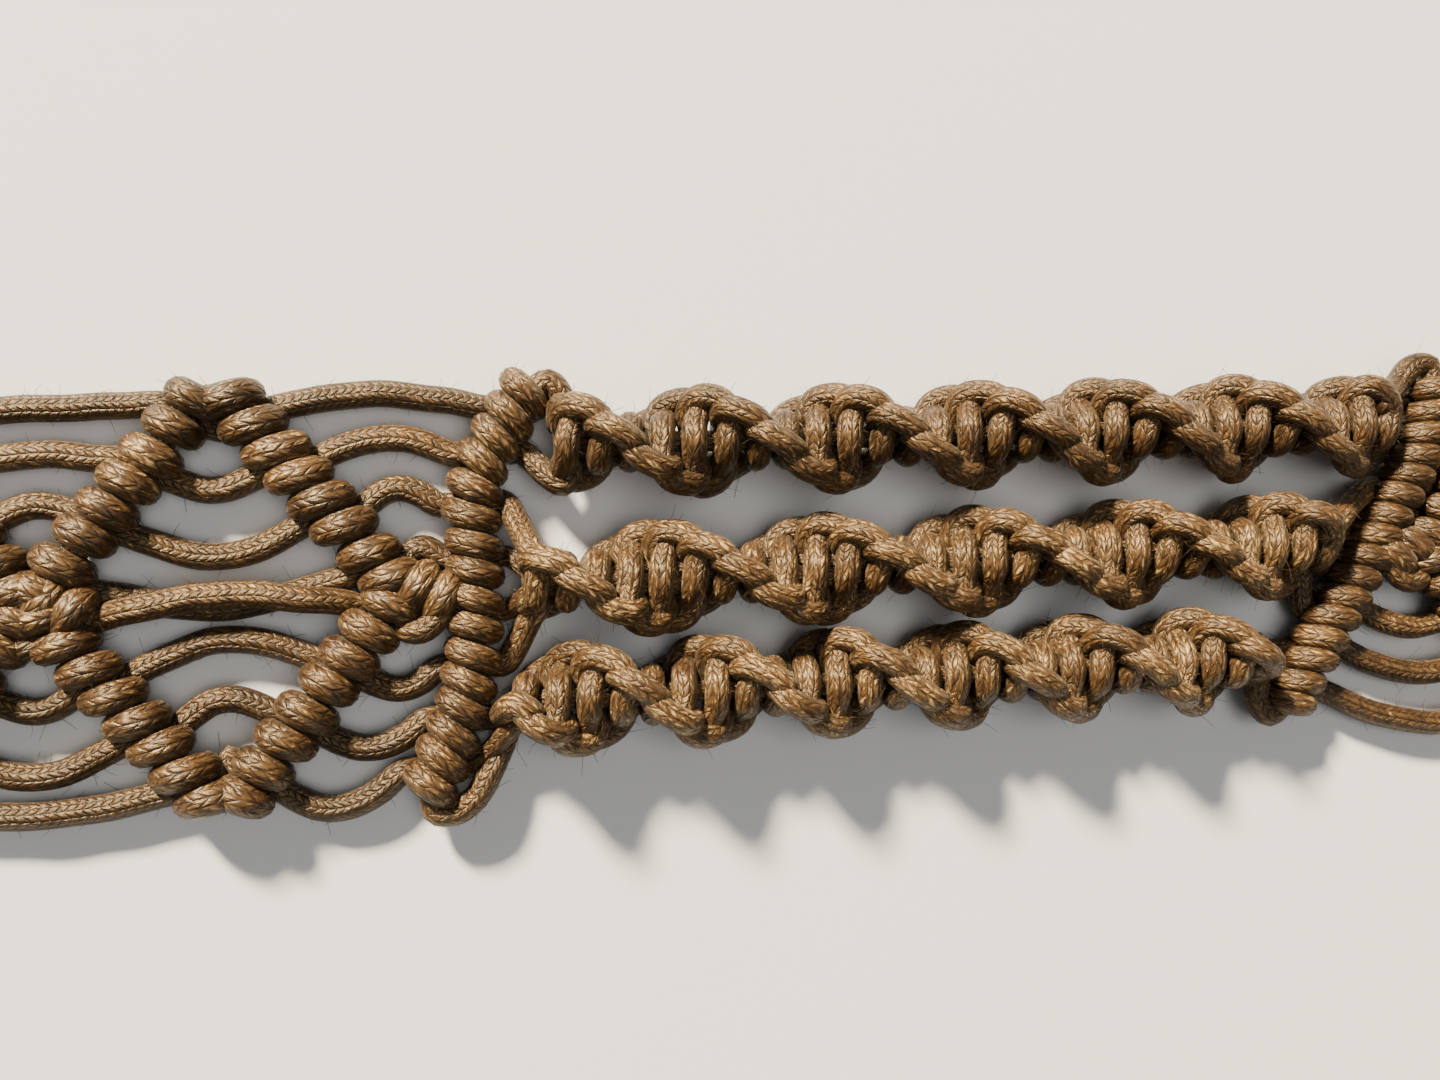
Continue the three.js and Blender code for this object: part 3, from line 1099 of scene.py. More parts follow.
@dataclass
class DiamondNet:
    """A row of open diamonds between two cross bars, in millimetres.

    The wraps of a bar that rises to the far side lean by rising_lean, the others by falling_lean. A
    filler leaves a cross bar dip below its line, between under and clear ahead of it. Tip_knot has
    the two ends of a tip's short bar, seen from the tip.
    """

    name: str
    left: CrossBar
    right: CrossBar
    tip_gap: float
    rising_lean: float = 0.38
    falling_lean: float = 0.66
    plump: float = 1.17
    dip: float = 1.1
    under: float = 0.8
    clear: float = 2.4
    leader_shares: tuple[float, ...] = (0.02, 0.35, 0.7, 0.94)
    bow_shares: tuple[float, ...] = (0.2, 0.4, 0.6, 0.8)
    tip_knot: tuple[tuple[float, float], ...] = ((-0.3, 0.7), (4.2, -1.2))
    tip_shares: tuple[float, ...] = (0.0, 0.5, 1.0)
    tip_lift: float = 0.05

    def tips(self) -> list[tuple[float, float]]:
        """Where the slanted bars meet on the belt's middle line.

        Returns:
            The tips, in order along the belt.
        """
        first = self.left.x + self.tip_gap
        step = 2 * PLAN.diamond_half_length
        return [(first + n * step, 0.0) for n in range(PLAN.diamonds + 1)]

    def build(self, material: bpy.types.Material, hand: Hand) -> bpy.types.Object:
        """Makes the net.

        Args:
            material: Its finish.
            hand: Source of its unevenness.

        Returns:
            The finished piece.
        """
        work = CordWork(self.name + "_cords", Detail.SHOWN, hand)
        back = [1.0 - share for share in reversed(self.leader_shares)]
        for side, slacks in ((1, FAR_SLACK), (-1, NEAR_SLACK)):
            lines = self.slanted_lines(side)
            for out, home in zip(lines[::2], lines[1::2]):
                work.run([*out.points(self.leader_shares), *home.points(back)])
            for i, slack in enumerate(slacks):
                self.lay_filler(work, lines, side, i, slack)
        self.lay_tip_knots(work)
        return work.finish(material, self.name)

    def slanted_lines(self, side: int) -> list[BarLine]:
        """The lines of the slanted bars on one side of the belt.

        Args:
            side: 1 on the far side of the belt, -1 on the near side.

        Returns:
            The lines in order along the belt, in turn out to its edge and home to its middle.
        """
        tips = self.tips()
        lines = []
        for tip, following in zip(tips, tips[1:]):
            middle, top = tip[0] + PLAN.diamond_half_length, side * PLAN.diamond_half_width
            before, after = (middle - PLAN.peak_gap, top), (middle + PLAN.peak_gap, top)
            lines.append(BarLine([tip, before], PLAN.bar_height, PLAN.wrap_reach))
            lines.append(BarLine([after, following], PLAN.bar_height, PLAN.wrap_reach))
        return lines

    def lay_filler(self, work: CordWork, lines: list[BarLine], side: int, i: int, slack: Slack) -> None:
        """Lays one filler from bar to bar, through every hitch on its way.

        Args:
            work: The piece that it is part of.
            lines: The slanted bars that it is hitched round.
            side: 1 on the far side of the belt, -1 on the near side.
            i: Its number, counted from the belt's edge.
            slack: How its loose stretches lie.
        """
        y = side * (PLAN.half_span - (2 * i + 1) * PLAN.wrap_pitch)
        (start, y_start), (end, y_end) = self.left.crossing(y), self.right.crossing(y)
        low = PLAN.bar_height - self.dip
        leaving = [(start + self.under, y_start, low), (start + self.clear, y_start, slack.height)]
        arriving = [(end - self.clear, y_end, slack.height), (end - self.under, y_end, low)]
        stops = [thick(leaving, CORD.pulled)]
        for n, line in enumerate(lines):
            outwards = n % 2 == 0
            share = (2 * i + 1) / PLAN.fillers
            along = (1.0 - share if outwards else share) * line.length
            along += work.hand.between(*NET_UNEVENNESS.shift)
            plump = self.plump + work.hand.between(*NET_UNEVENNESS.swell)
            lift = work.hand.between(*NET_UNEVENNESS.lift)
            lean = self.rising_lean if outwards == (side > 0) else self.falling_lean
            stops.append(line.hitch(along, line.length / PLAN.fillers, lean, lift, plump))
        stops.append(thick(arriving, CORD.pulled))
        guides = [stops[0]]
        for n, (before, after) in enumerate(zip(stops, stops[1:])):
            outside = slack.between if 0 < n < len(lines) else slack.beside
            bow = slack.inside if n % 2 else outside
            guides.append(self.bowed(before[-1], after[0], side * bow, slack.height))
            guides.append(after)
        work.run(np.vstack(guides), uneven=NET_UNEVENNESS.wander)

    def bowed(self, start: np.ndarray, end: np.ndarray, bow: float, height: float) -> np.ndarray:
        """Guide points of a loose stretch between two hitches.

        Args:
            start: Last point of the hitch that it leaves.
            end: First point of the hitch that it runs to.
            bow: How far it bows across the belt.
            height: Its height above the surface.

        Returns:
            The guide points with their radii.
        """
        points = []
        for share in self.bow_shares:
            point = start + (end - start) * share
            point[1] += bow * math.sin(math.pi * share)
            point[2] = height
            points.append(point)
        return thick(points, CORD.loose)

    def lay_tip_knots(self, work: CordWork) -> None:
        """Lays the hitches of one leader round the other at every tip.

        Args:
            work: The piece that they are part of.
        """
        for number, (x, y) in enumerate(self.tips()):
            ahead = -1.0 if number == 0 else 1.0
            ends = [(x + along * ahead, y + across) for along, across in self.tip_knot]
            line = BarLine(ends, PLAN.bar_height, PLAN.wrap_reach)
            work.run(line.points(self.tip_shares))
            lean = self.rising_lean * ahead
            wraps = line.hitch(line.length / 2, PLAN.wrap_pitch, lean, self.tip_lift, self.plump)
            work.run(wraps[1:-1], uneven=BAR_UNEVENNESS.wander)


@dataclass(frozen=True)
class Fold:
    """How far a bundle has closed up at one place of a gather: its place along it, and how near its
    width and its height are to the neck's."""

    along: float
    width: float
    height: float


GATHER = (
    Fold(along=-0.22, width=0.0, height=0.0),
    Fold(along=0.06, width=0.0, height=0.0),
    Fold(along=0.36, width=0.3, height=0.1),
    Fold(along=0.68, width=0.78, height=0.6),
    Fold(along=1.0, width=1.0, height=1.0),
    Fold(along=1.35, width=1.0, height=1.0),
)


@dataclass
class GatheredNeck:
    """The cords that leave the last cross bar and close up into a round neck, in millimetres.

    The bundle overlaps the whipping. It runs straight until straight_end before the end of the
    overlap and past_end beyond it, where the cords close up to end_width and end_depth of the neck.
    """

    face: float
    direction: int
    length: float = 16.0
    overlap: float = 11.0
    straight_end: float = 2.0
    past_end: float = 2.2
    end_width: float = 0.7
    end_depth: float = 0.6
    axis_height: float = 5.5
    flat_height: float = 1.2
    core_reach: float = 0.95
    ring_reach: float = 2.5
    ring_start: float = 0.25
    cords_in_core: int = 3
    leader_inset: float = 0.6
    uneven: float = 0.08

    def places(self) -> list[tuple[float, tuple[float, float]]]:
        """Where each cord leaves the bar, and where it lies in the neck.

        Returns:
            A place across the belt, and a spot round the neck's axis, for each cord.
        """
        edge = PLAN.half_span - self.leader_inset
        starts = sorted([*PLAN.filler_places(), -edge, edge])
        ring = len(starts) - self.cords_in_core
        spots = [self.around(self.ring_reach, n, ring) for n in range(ring)]
        spots += [self.around(self.core_reach, n, self.cords_in_core) for n in range(self.cords_in_core)]
        return list(zip(starts, sorted(spots)))

    def around(self, reach: float, number: int, count: int) -> tuple[float, float]:
        """A spot on a ring of evenly spaced cords."""
        angle = math.tau * (number + self.ring_start) / count
        return reach * math.cos(angle), reach * math.sin(angle)

    def lay_in(self, work: CordWork, end_height: float) -> None:
        """Lays the gathered cords.

        Args:
            work: The piece that they are part of.
            end_height: Height that the bundle runs to behind the whipping.
        """
        tail = self.face + self.direction * (self.length + self.overlap)
        straight_x = tail - self.direction * self.straight_end
        end_x = tail + self.direction * self.past_end
        for start, (y, z) in self.places():
            route = []
            for fold in GATHER:
                x = self.face + self.direction * fold.along * self.length
                low = self.flat_height + (self.axis_height - self.flat_height) * fold.height
                route.append((x, start + (y - start) * fold.width, low + z * fold.height))
            route.append((straight_x, y, self.axis_height + z))
            route.append((end_x, self.end_width * y, end_height + self.end_depth * z))
            work.run(route, CORD.pulled, self.uneven)


@dataclass
class Whipping:
    """Turns of cord that bind a neck, in millimetres. Tuck is how far its first points lie under
    the turns, one after another, and so do its last."""

    name: str
    middle: float
    turns: int = 5
    pitch: float = 2.0
    reach: float = 4.5
    axis_height: float = 5.5
    tuck: tuple[float, ...] = (1.6, 0.9, 0.4, 0.1)
    points_per_turn: int = 24

    def build(self, material: bpy.types.Material, hand: Hand) -> bpy.types.Object:
        """Makes the whipping.

        Args:
            material: Its finish.
            hand: Source of its unevenness.

        Returns:
            The finished piece.
        """
        work = CordWork(self.name + "_turns", Detail.PLAIN, hand)
        count = self.points_per_turn * self.turns
        angles = np.linspace(0.0, math.tau * self.turns, count)
        length = self.turns * self.pitch
        ends = self.tuck[0]
        x = self.middle - length / 2 + ends / 2 + (length - ends) * np.linspace(0.0, 1.0, count)
        reach = np.full(count, self.reach)
        reach[:len(self.tuck)] -= self.tuck
        reach[-len(self.tuck):] -= self.tuck[::-1]
        route = np.stack([x, reach * np.sin(angles), self.axis_height - reach * np.cos(angles)], axis=1)
        work.lay(evenly(route, work.detail.step), CORD.pulled)
        return work.finish(material, self.name)


@dataclass
class EyeLoop:
    """The open loop at the left end, wrapped with cord, and the neck that carries it."""

    gather: GatheredNeck
    middle: float
    half_length: float = 14.0
    half_width: float = 11.0
    height: float = 2.5
    neck_rise: float = 0.8
    wrap_reach: float = 1.5
    wrap_pitch: float = 1.95
    rough_points: int = 400
    step: float = 0.25

    def build(self, material: bpy.types.Material, hand: Hand) -> bpy.types.Object:
        """Makes the eye.

        Args:
            material: Its finish.
            hand: Source of its unevenness.

        Returns:
            The finished piece.
        """
        work = CordWork("eye_cords", Detail.PLAIN, hand)
        self.gather.lay_in(work, self.height + self.neck_rise)
        ring = self.ring()
        work.lay(evenly(ring, work.detail.step)[:-1], CORD.hidden, closed=True)
        work.lay(evenly(self.wrapped(ring), work.detail.step)[:-1], CORD.pulled, closed=True)
        return work.finish(material, "eye")

    def ring(self) -> np.ndarray:
        """The middle line of the loop.

        Returns:
            Its points, the last of them on the first.
        """
        angles = np.linspace(0.0, math.tau, self.rough_points)
        x = self.middle + self.half_length * np.cos(angles)
        y = self.half_width * np.sin(angles)
        return evenly(np.stack([x, y, np.full(len(angles), self.height)], axis=1), self.step)

    def wrapped(self, ring: np.ndarray) -> np.ndarray:
        """The cord that is wound round the loop.

        Args:
            ring: The loop's middle line.

        Returns:
            The cord's points.
        """
        slope = np.gradient(ring[:, :2], axis=0)
        slope /= np.linalg.norm(slope, axis=1)[:, None]
        along = distances(ring)
        turns = round(along[-1] / self.wrap_pitch)
        twist = math.tau * turns * along / along[-1]
        wraps = ring.copy()
        wraps[:, 0] += self.wrap_reach * np.cos(twist) * slope[:, 1]
        wraps[:, 1] -= self.wrap_reach * np.cos(twist) * slope[:, 0]
        wraps[:, 2] += self.wrap_reach * np.sin(twist)
        return wraps


@dataclass
class ButtonKnot:
    """The round button at the right end: three bands of cord woven round a ball.

    Ball is the ball's radius as a share of a band's reach, and stuffing is the reach of the cord
    that fills it.
    """

    middle: float
    height: float = 7.5
    over: float = 6.5
    under: float = 4.7
    strands: int = 3
    apart: float = 1.95
    ball: float = 1.3
    stuffing: float = 2.9
    points: int = 60

    def build(self, material: bpy.types.Material, hand: Hand) -> bpy.types.Object:
        """Makes the knot.

        Args:
            material: Its finish.
            hand: Source of its unevenness.

        Returns:
            The finished piece.
        """
        work = CordWork("button_knot_bands", Detail.PLAIN, hand)
        for axis in range(3):
            for strand in range(self.strands):
                offset = (strand - (self.strands - 1) / 2) * self.apart
                drawn_in = math.sqrt(1 - (offset / (self.ball * self.over)) ** 2)
                ring = self.circle(axis, offset, self.over * drawn_in, self.under)
                work.lay(ring, CORD.pulled, closed=True)
            work.lay(self.circle(axis, 0.0, self.stuffing, self.stuffing), CORD.pulled, closed=True)
        return work.finish(material, "button_knot")

    def circle(self, axis: int, offset: float, over: float, under: float) -> np.ndarray:
        """One ring of a band.

        Args:
            axis: The axis that the band goes round.
            offset: The ring's place along it.
            over: Its reach where it lies over the next band.
            under: Its reach where it lies under the last one.

        Returns:
            The ring's route.
        """
        angles = np.linspace(0.0, math.tau, self.points, endpoint=False)
        ring = np.empty((len(angles), 3))
        ring[:, axis] = offset
        ring[:, (axis + 1) % 3] = over * np.cos(angles)
        ring[:, (axis + 2) % 3] = under * np.sin(angles)
        return ring + [self.middle, 0.0, self.height]


class Value:
    """A number in a shader, with Python's operators."""

    def __init__(self, shop: ShaderShop, socket: bpy.types.NodeSocket) -> None:
        """Wraps an output socket."""
        self.shop = shop
        self.socket = socket

    def _math(self, operation: str, *terms: Value | float, clamp: bool = False) -> Value:
        """Adds a Math node.

        Args:
            operation: What it works out.
            *terms: Its inputs.
            clamp: Whether the result is held between 0 and 1.

        Returns:
            The result.
        """
        settings = {"operation": operation, "use_clamp": clamp}
        return self.shop.value(self.shop.node("ShaderNodeMath", settings, dict(enumerate(terms))))

    def __add__(self, other: Value | float) -> Value:
        """Sum."""
        return self._math("ADD", self, other)

    __radd__ = __add__

    def __mul__(self, other: Value | float) -> Value:
        """Product."""
        return self._math("MULTIPLY", self, other)

    __rmul__ = __mul__

    def __sub__(self, other: Value | float) -> Value:
        """Difference."""
        return self._math("SUBTRACT", self, other)

    def __rsub__(self, other: float) -> Value:
        """Difference from a number."""
        return self._math("SUBTRACT", other, self)

    def __pow__(self, other: float) -> Value:
        """Power."""
        return self._math("POWER", self, other)

    def __mod__(self, other: float) -> Value:
        """Remainder, never negative."""
        return self._math("FLOORED_MODULO", self, other)

    def __abs__(self) -> Value:
        """Size without sign."""
        return self._math("ABSOLUTE", self)

    def floor(self) -> Value:
        """The whole number below."""
        return self._math("FLOOR", self)

    def clamped(self) -> Value:
        """The value held between 0 and 1."""
        return self._math("ADD", self, 0.0, clamp=True)


class ShaderShop:
    """Adds nodes to one material.

    A Mix node has sockets of one name for each kind of value, so those for colours are told apart
    by their numbers.
    """

    mix_factor = 0
    mix_first = 6
    mix_second = 7
    mix_result = 2

    def __init__(self, name: str) -> None:
        """Starts a material with its output and surface shader.

        Args:
            name: The material's name.
        """
        self.material = bpy.data.materials.new(name)
        self.material.use_nodes = True
        self.tree = self.material.node_tree
        self.tree.nodes.clear()
        self.surface = self.node("ShaderNodeBsdfPrincipled")
        self.node("ShaderNodeOutputMaterial", {}, {"Surface": self.surface.outputs[0]})

    def node(
        self,
        kind: str,
        settings: dict[str, object] | None = None,
        inputs: dict[str | int, object] | None = None,
    ) -> bpy.types.Node:
        """Adds a node.

        Args:
            kind: The node's type.
            settings: Its settings, set first. Stops gives a ramp's places and colours.
            inputs: Values or links of its sockets, by name or number.

        Returns:
            The node.
        """
        node = self.tree.nodes.new(kind)
        for name, value in (settings or {}).items():
            if name == "stops":
                self._set_stops(node.color_ramp, value)
            else:
                setattr(node, name, value)
        for key, value in (inputs or {}).items():
            self.feed(node.inputs[key], value)
        return node

    @staticmethod
    def _set_stops(ramp: bpy.types.ColorRamp, stops: Sequence[tuple[float, Colour]]) -> None:
        """Gives a ramp its stops.

        Args:
            ramp: The ramp.
            stops: Place and colour of each stop.
        """
        while len(ramp.elements) < len(stops):
            ramp.elements.new(1.0)
        for element, (place, colour) in zip(ramp.elements, stops):
            element.position = place
            element.color = (*colour, 1.0)

    def feed(self, socket: bpy.types.NodeSocket, value: object) -> None:
        """Links or sets one input.

        Args:
            socket: The input.
            value: A link, or the input's own value.
        """
        if isinstance(value, Value):
            value = value.socket
        if isinstance(value, bpy.types.NodeSocket):
            self.tree.links.new(value, socket)
        else:
            socket.default_value = value

    def value(self, node: bpy.types.Node, output: str | int = 0) -> Value:
        """Wraps a node's number output."""
        return Value(self, node.outputs[output])

    def noise(self, place: bpy.types.NodeSocket, scale: float, detail: float) -> Value:
        """Noise between 0 and 1 at a place."""
        inputs = {"Vector": place, "Scale": scale, "Detail": detail}
        return self.value(self.node("ShaderNodeTexNoise", {}, inputs))

    def mix(self, factor: Value | float, first: object, second: object) -> bpy.types.NodeSocket:
        """Mixes two colours.

        Args:
            factor: Share of the second.
            first: Colour or link.
            second: Colour or link.

        Returns:
            The mixed colour.
        """
        settings = {"data_type": "RGBA", "clamp_factor": True}
        inputs = {self.mix_factor: factor, self.mix_first: first, self.mix_second: second}
        return self.node("ShaderNodeMix", settings, inputs).outputs[self.mix_result]


@dataclass(frozen=True)
class Weave:
    """Where a point of the cord lies among its stitches: its row, its column, its place across the
    column, mirrored in every other one, and how high it stands on its stitch."""

    row: Value
    column: Value
    leaning: Value
    height: Value


@dataclass(frozen=True)
class Streaks:
    """Noise drawn out along the stitches: how fine it is along and across them, how far the place
    across a column shifts it, and its scale and detail."""

    along: float
    across: float
    shift: float
    scale: float
    detail: float = 3.0

    def over(self, shop: ShaderShop, weave: Weave) -> Value:
        """Lays the noise over the stitches.

        Args:
            shop: The material.
            weave: The stitches.

        Returns:
            The noise, around 0.
        """
        across = weave.column * self.across + weave.leaning * self.shift
        place = shop.node("ShaderNodeCombineXYZ", {}, {0: weave.row * self.along, 1: across})
        return shop.noise(place.outputs[0], self.scale, self.detail) - 0.5


@dataclass(frozen=True)
class WaxedCord:
    """Braided cotton cord, waxed: a fine herringbone of stitches with fuzz, wax and dirt on it.

    The stitch's length is in millimetres. The UV map gives millimetres along and turns around, and
    Object coordinates are in metres. Blotches and grime have a scale and a detail. A field that
    ends in light says how much its layer lightens the cord, and one that ends in relief says how
    much it raises it. Two layers are painted light and shade: the stitch layer paints the hollows
    between stitches darker and the stitch tops lighter, and the height layer paints the cord lighter
    the higher it stands above the floor and darker near it. So the ramp's darkest colour is partly
    painted shade and partly the colour that dirt takes, and its lighter colours are partly the
    cord's own lighter tone and partly painted light.
    """

    name: str = "waxed_cotton_cord"
    columns: int = 12
    stitch: float = 0.62
    lean: float = 0.8
    ridge_flatness: float = 2.4
    hump_flatness: float = 3.0
    fibres: Streaks = Streaks(along=0.7, across=1.5, shift=0.9, scale=1.3)
    fuzz: Streaks = Streaks(along=2.2, across=3.4, shift=0.0, scale=1.6)
    blotches: tuple[float, float] = (260.0, 3.0)
    grime: tuple[float, float] = (900.0, 4.0)
    fibre_strength: float = 1.7
    fuzz_strength: float = 1.1
    # Painted shade and light: darker hollows between stitches, lighter stitch tops.
    stitch_painted_light: float = 0.32
    blotch_light: float = 0.6
    tone_light: float = 0.2
    # Painted light: lighter the higher the cord stands above the floor, with painted shade near it.
    painted_height_light: float = 0.2
    painted_light_rate: float = 150.0
    painted_light_start: float = 0.2
    darkening: float = 0.18
    # Darkest colour: painted shade in hollows and near the floor, and the colour that dirt takes.
    painted_shade_and_dirt: Colour = (0.006, 0.0026, 0.001)
    body: Colour = (0.024, 0.0103, 0.0033)
    # The cord's lighter tone, reached partly through random fibres and blotches and partly through painted
    # light on high parts and stitch tops.
    worn_and_lit: Colour = (0.078, 0.039, 0.0125)
    fibre: Colour = (0.35, 0.225, 0.09)
    body_at: float = 0.34
    worn_and_lit_at: float = 0.78
    dirt_start: float = 0.52
    dirt_rate: float = 5.0
    dirt_cover: float = 0.45
    stitch_relief: float = 0.6
    loose_relief: float = 0.5
    grime_relief: float = 0.15
    relief: float = 0.00013
    roughness: float = 0.38
    worn_gloss: float = 0.05
    shine: Colour = (1.0, 0.82, 0.55)
    sheen: float = 0.05
    sheen_roughness: float = 0.4

    def weave(self, shop: ShaderShop) -> Weave:
        """Lays the herringbone of stitches over the cord.

        Args:
            shop: The material.

        Returns:
            The stitches.
        """
        uv = shop.node("ShaderNodeUVMap", {"uv_map": "UVMap"})
        parts = shop.node("ShaderNodeSeparateXYZ", {}, {0: uv.outputs[0]})
        column = shop.value(parts, "Y") * float(self.columns)
        across = column % 1.0
        odd = column.floor() % 2.0
        leaning = across + odd - 2.0 * across * odd
        row = shop.value(parts, "X") * (1.0 / self.stitch) + leaning * self.lean
        ridge = 1.0 - abs(across * 2.0 - 1.0) ** self.ridge_flatness
        hump = 1.0 - abs((row % 1.0) * 2.0 - 1.0) ** self.hump_flatness
        return Weave(row, column, leaning, ridge * hump)

    def make(self) -> bpy.types.Material:
        """Makes the material.

        Returns:
            The material.
        """
        shop = ShaderShop(self.name)
        weave = self.weave(shop)
        place = shop.node("ShaderNodeTexCoord").outputs["Object"]
        height = shop.value(shop.node("ShaderNodeSeparateXYZ", {}, {0: place}), "Z")
        # Painted light: this share grows with height above the floor, so higher cord is painted lighter and
        # cord near the floor darker, as painted shade.
        painted_light_share = (height * self.painted_light_rate - self.painted_light_start).clamped()
        tone = shop.value(shop.node("ShaderNodeAttribute", {"attribute_name": "tone"}), "Fac")
        blotches = shop.noise(place, *self.blotches)
        grime = shop.noise(place, *self.grime)
        fibres = self.fibres.over(shop, weave) * self.fibre_strength
        loose = fibres + self.fuzz.over(shop, weave) * self.fuzz_strength
        # Painted shade: the stitch height paints the hollows between stitches darker and the stitch tops
        # lighter.
        light = weave.height * self.stitch_painted_light + loose + blotches * self.blotch_light
        light = light + tone * self.tone_light + painted_light_share * self.painted_height_light
        shade = (light - self.darkening).clamped()
        # The darkest stop is painted shade as well as the dirt colour; the upper stops take painted light
        # as well as the cord's lighter tone.
        stops = [(0.0, self.painted_shade_and_dirt), (self.body_at, self.body), (self.worn_and_lit_at, self.worn_and_lit), (1.0, self.fibre)]
        ramp = shop.node("ShaderNodeValToRGB", {"stops": stops}, {0: shade})
        dirt = ((grime - self.dirt_start) * self.dirt_rate).clamped() * self.dirt_cover
        relief = weave.height * self.stitch_relief + loose * self.loose_relief + grime * self.grime_relief
        bump = shop.node("ShaderNodeBump", {}, {"Strength": 1.0, "Distance": self.relief, "Height": relief})
        surface = {
            "Base Color": shop.mix(dirt, ramp.outputs[0], (*self.painted_shade_and_dirt, 1.0)),
            "Roughness": self.roughness - shade * self.worn_gloss,
            "Normal": bump.outputs[0],
            "Specular Tint": (*self.shine, 1.0),
            "Sheen Weight": self.sheen,
            "Sheen Roughness": self.sheen_roughness,
            "Sheen Tint": (*self.shine, 1.0),
        }
        for socket, value in surface.items():
            shop.feed(shop.surface.inputs[socket], value)
        return shop.material


@dataclass(frozen=True)
class PaleFloor:
    """The plain surface that the belt lies on."""

    colour: Colour = (0.5, 0.49, 0.47)
    roughness: float = 0.85
    size: float = 6.0

    def build(self) -> None:
        """Makes the floor."""
        shop = ShaderShop("pale_floor")
        shop.feed(shop.surface.inputs["Base Color"], (*self.colour, 1.0))
        shop.feed(shop.surface.inputs["Roughness"], self.roughness)
        work = bmesh.new()
        bmesh.ops.create_grid(work, x_segments=1, y_segments=1, size=self.size / 2)
        mesh = bpy.data.meshes.new("floor")
        work.to_mesh(mesh)
        work.free()
        mesh.materials.append(shop.material)
        floor = bpy.data.objects.new("floor", mesh)
        bpy.context.scene.collection.objects.link(floor)


@dataclass(frozen=True)
class CloseCamera:
    """A camera held close above the belt, looking almost straight down.

    Its place and the nearest point that it sees are in millimetres, and its tilts in degrees, about
    X, Y and its own view.
    """

    place: Place = (-23.1, 0.7, 98.1)
    tilts: tuple[float, float, float] = (1.2, -8.8, -2.2)
    focal: float = 32.5
    sensor: float = 36.0
    nearest: float = 5.0

    def build(self) -> None:
        """Adds the camera and looks through it."""
        data = bpy.data.cameras.new("camera")
        data.lens = self.focal
        data.sensor_width = self.sensor
        data.clip_start = self.nearest * MILLIMETRE
        camera = bpy.data.objects.new("camera", data)
        camera.rotation_mode = "ZYX"
        camera.rotation_euler = [math.radians(tilt) for tilt in self.tilts]
        camera.location = Vector(self.place) * MILLIMETRE
        bpy.context.scene.collection.objects.link(camera)
        bpy.context.scene.camera = camera


@dataclass(frozen=True)
class SoftLight:
    """A square soft light. Its place, aim and size are in millimetres."""

    name: str
    place: Place
    size: float
    power: float
    colour: Colour = (1.0, 1.0, 1.0)
    aim: Place = (0.0, 0.0, 0.0)

    def build(self) -> None:
        """Adds the light."""
        data = bpy.data.lights.new(self.name, "AREA")
        data.size = self.size * MILLIMETRE
        data.energy = self.power
        data.color = self.colour
        light = bpy.data.objects.new(self.name, data)
        light.location = Vector(self.place) * MILLIMETRE
        way = Vector(self.aim) - Vector(self.place)
        light.rotation_mode = "QUATERNION"
        light.rotation_quaternion = way.to_track_quat("-Z", "Y")
        bpy.context.scene.collection.objects.link(light)


@dataclass(frozen=True)
class Studio:
    """Soft studio light: a low key from the far left, a broad top light and an even surround."""

    surround: float = 0.22
    surround_colour: Colour = (0.9, 0.95, 1.0)
    lights: tuple[SoftLight, ...] = (
        SoftLight("key", (-1300.0, 2100.0, 1450.0), size=380.0, power=700.0, colour=(1.0, 0.88, 0.7)),
        SoftLight("top", (450.0, -240.0, 2100.0), size=1500.0, power=26.0),
    )

    def build(self) -> None:
        """Adds the lights and the surround."""
        for light in self.lights:
            light.build()
        world = bpy.data.worlds.new("surround")
        world.use_nodes = True
        background = world.node_tree.nodes["Background"]
        background.inputs["Color"].default_value = (*self.surround_colour, 1.0)
        background.inputs["Strength"].default_value = self.surround
        bpy.context.scene.world = world


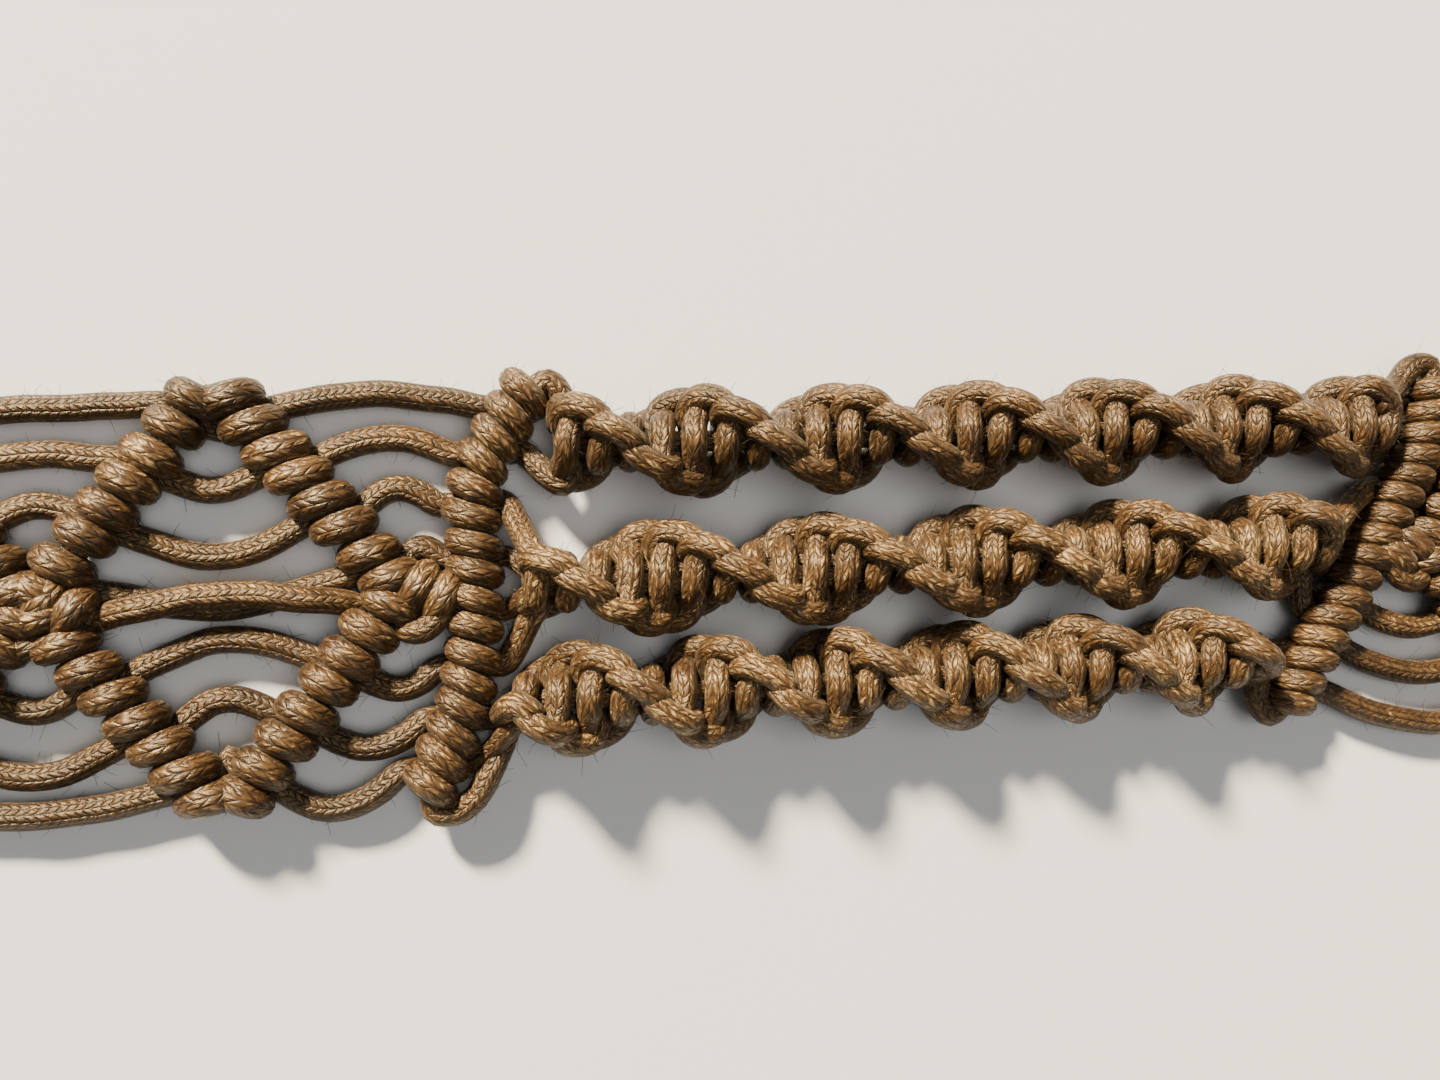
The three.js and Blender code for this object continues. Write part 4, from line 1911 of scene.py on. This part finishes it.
@dataclass
class Belt:
    """The whole belt, laid out from the frame's cross bars.

    Eye_reach is how far the eye's middle lies from the middle of its whipping, in millimetres, and
    slanted_lean is how the wraps of the slanted bar lean.
    """

    material: bpy.types.Material
    stretches: int = 3
    eye_reach: float = 21.8
    slanted_lean: float = 0.6
    hand: Hand = field(default_factory=lambda: Hand(SEED))

    def middle_of(self, node: str) -> float:
        """The middle of a node along the belt, in millimetres."""
        low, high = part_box(node)
        return (low[0] + high[0]) / 2 / MILLIMETRE

    def side_bars(self, side: str, outwards: int) -> list[CrossBar]:
        """The cross bars beside a net, where the frame has them.

        Args:
            side: Left or right, as it stands in the nodes' names.
            outwards: -1 on the left and 1 on the right.

        Returns:
            The bars, from the net outwards. The first and the last have sinnets on one side alone.
        """
        last = self.stretches + 1
        turns = {1: (outwards,), last: (-outwards,)}
        names = {number: f"cross_bar_{side}_{number}" for number in range(1, last + 1)}
        return [CrossBar(name, self.middle_of(name), turns.get(n, (-1, 1))) for n, name in names.items()]

    def pieces(self) -> Iterator[bpy.types.Object]:
        """Makes every piece, from the centre to the ends.

        Returns:
            The finished pieces, one after another.
        """
        left, right = self.side_bars("left", -1), self.side_bars("right", 1)
        left_x = left[0].x + 2 * PLAN.tip_gap_outer + PLAN.net_length
        right_x = right[0].x - PLAN.tip_gap_outer - PLAN.tip_gap_inner - PLAN.net_length
        start = CrossBar("cross_bar_centre_left", left_x, (1,), BarShape.BENT, Detail.SHOWN)
        end = CrossBar(
            "cross_bar_centre_right", right_x, (-1,), BarShape.SLANTED, Detail.SHOWN, self.slanted_lean
        )
        for bar in (start, end, *left, *right):
            yield bar.build(self.material, self.hand)
        left_net = DiamondNet("diamond_net_left", left[0], start, PLAN.tip_gap_outer)
        right_net = DiamondNet("diamond_net_right", end, right[0], PLAN.tip_gap_inner)
        for net in (left_net, right_net):
            yield net.build(self.material, self.hand)
        yield from self.sinnets("sinnet_centre", start, end, Detail.SHOWN)
        for n in range(1, self.stretches + 1):
            yield from self.sinnets(f"sinnet_left_{n}", left[n], left[n - 1], Detail.PLAIN)
            yield from self.sinnets(f"sinnet_right_{n}", right[n - 1], right[n], Detail.PLAIN)
        eye_neck = GatheredNeck(left[-1].x - PLAN.bar_face, -1)
        eye = EyeLoop(eye_neck, self.middle_of("eye_whipping") - self.eye_reach)
        yield eye.build(self.material, self.hand)
        neck = CordWork("button_neck_cords", Detail.PLAIN, self.hand)
        GatheredNeck(right[-1].x + PLAN.bar_face, 1).lay_in(neck, ButtonKnot.height)
        yield neck.finish(self.material, "button_neck")
        for name in ("eye_whipping", "button_whipping"):
            yield Whipping(name, self.middle_of(name)).build(self.material, self.hand)
        yield ButtonKnot(self.middle_of("button_knot")).build(self.material, self.hand)

    def sinnets(
        self, name: str, left: CrossBar, right: CrossBar, detail: Detail
    ) -> Iterator[bpy.types.Object]:
        """Makes the three sinnets of one stretch.

        Args:
            name: What the stretch's nodes are called, without their row.
            left: The bar that it starts at.
            right: The bar that it ends at.
            detail: How finely the cords are swept.

        Returns:
            The finished sinnets, one after another.
        """
        for row in Row:
            work = CordWork(f"{name}_{row.label}_knots", detail, self.hand)
            twist = CENTRE_TWISTS[row] if detail is Detail.SHOWN else SIDE_TWIST
            Sinnet(left, right, row, twist).lay_in(work)
            yield work.finish(self.material, f"{name}_{row.label}")


def main() -> None:
    """Builds the whole scene around the frame and reports each piece."""
    logging.basicConfig(level=logging.INFO, format="%(message)s")
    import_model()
    CloseCamera().build()
    Studio().build()
    PaleFloor().build()
    for piece in Belt(WaxedCord().make()).pieces():
        log.info("%s: %d faces", piece.name, len(piece.data.polygons))


if __name__ == "__main__":
    main()
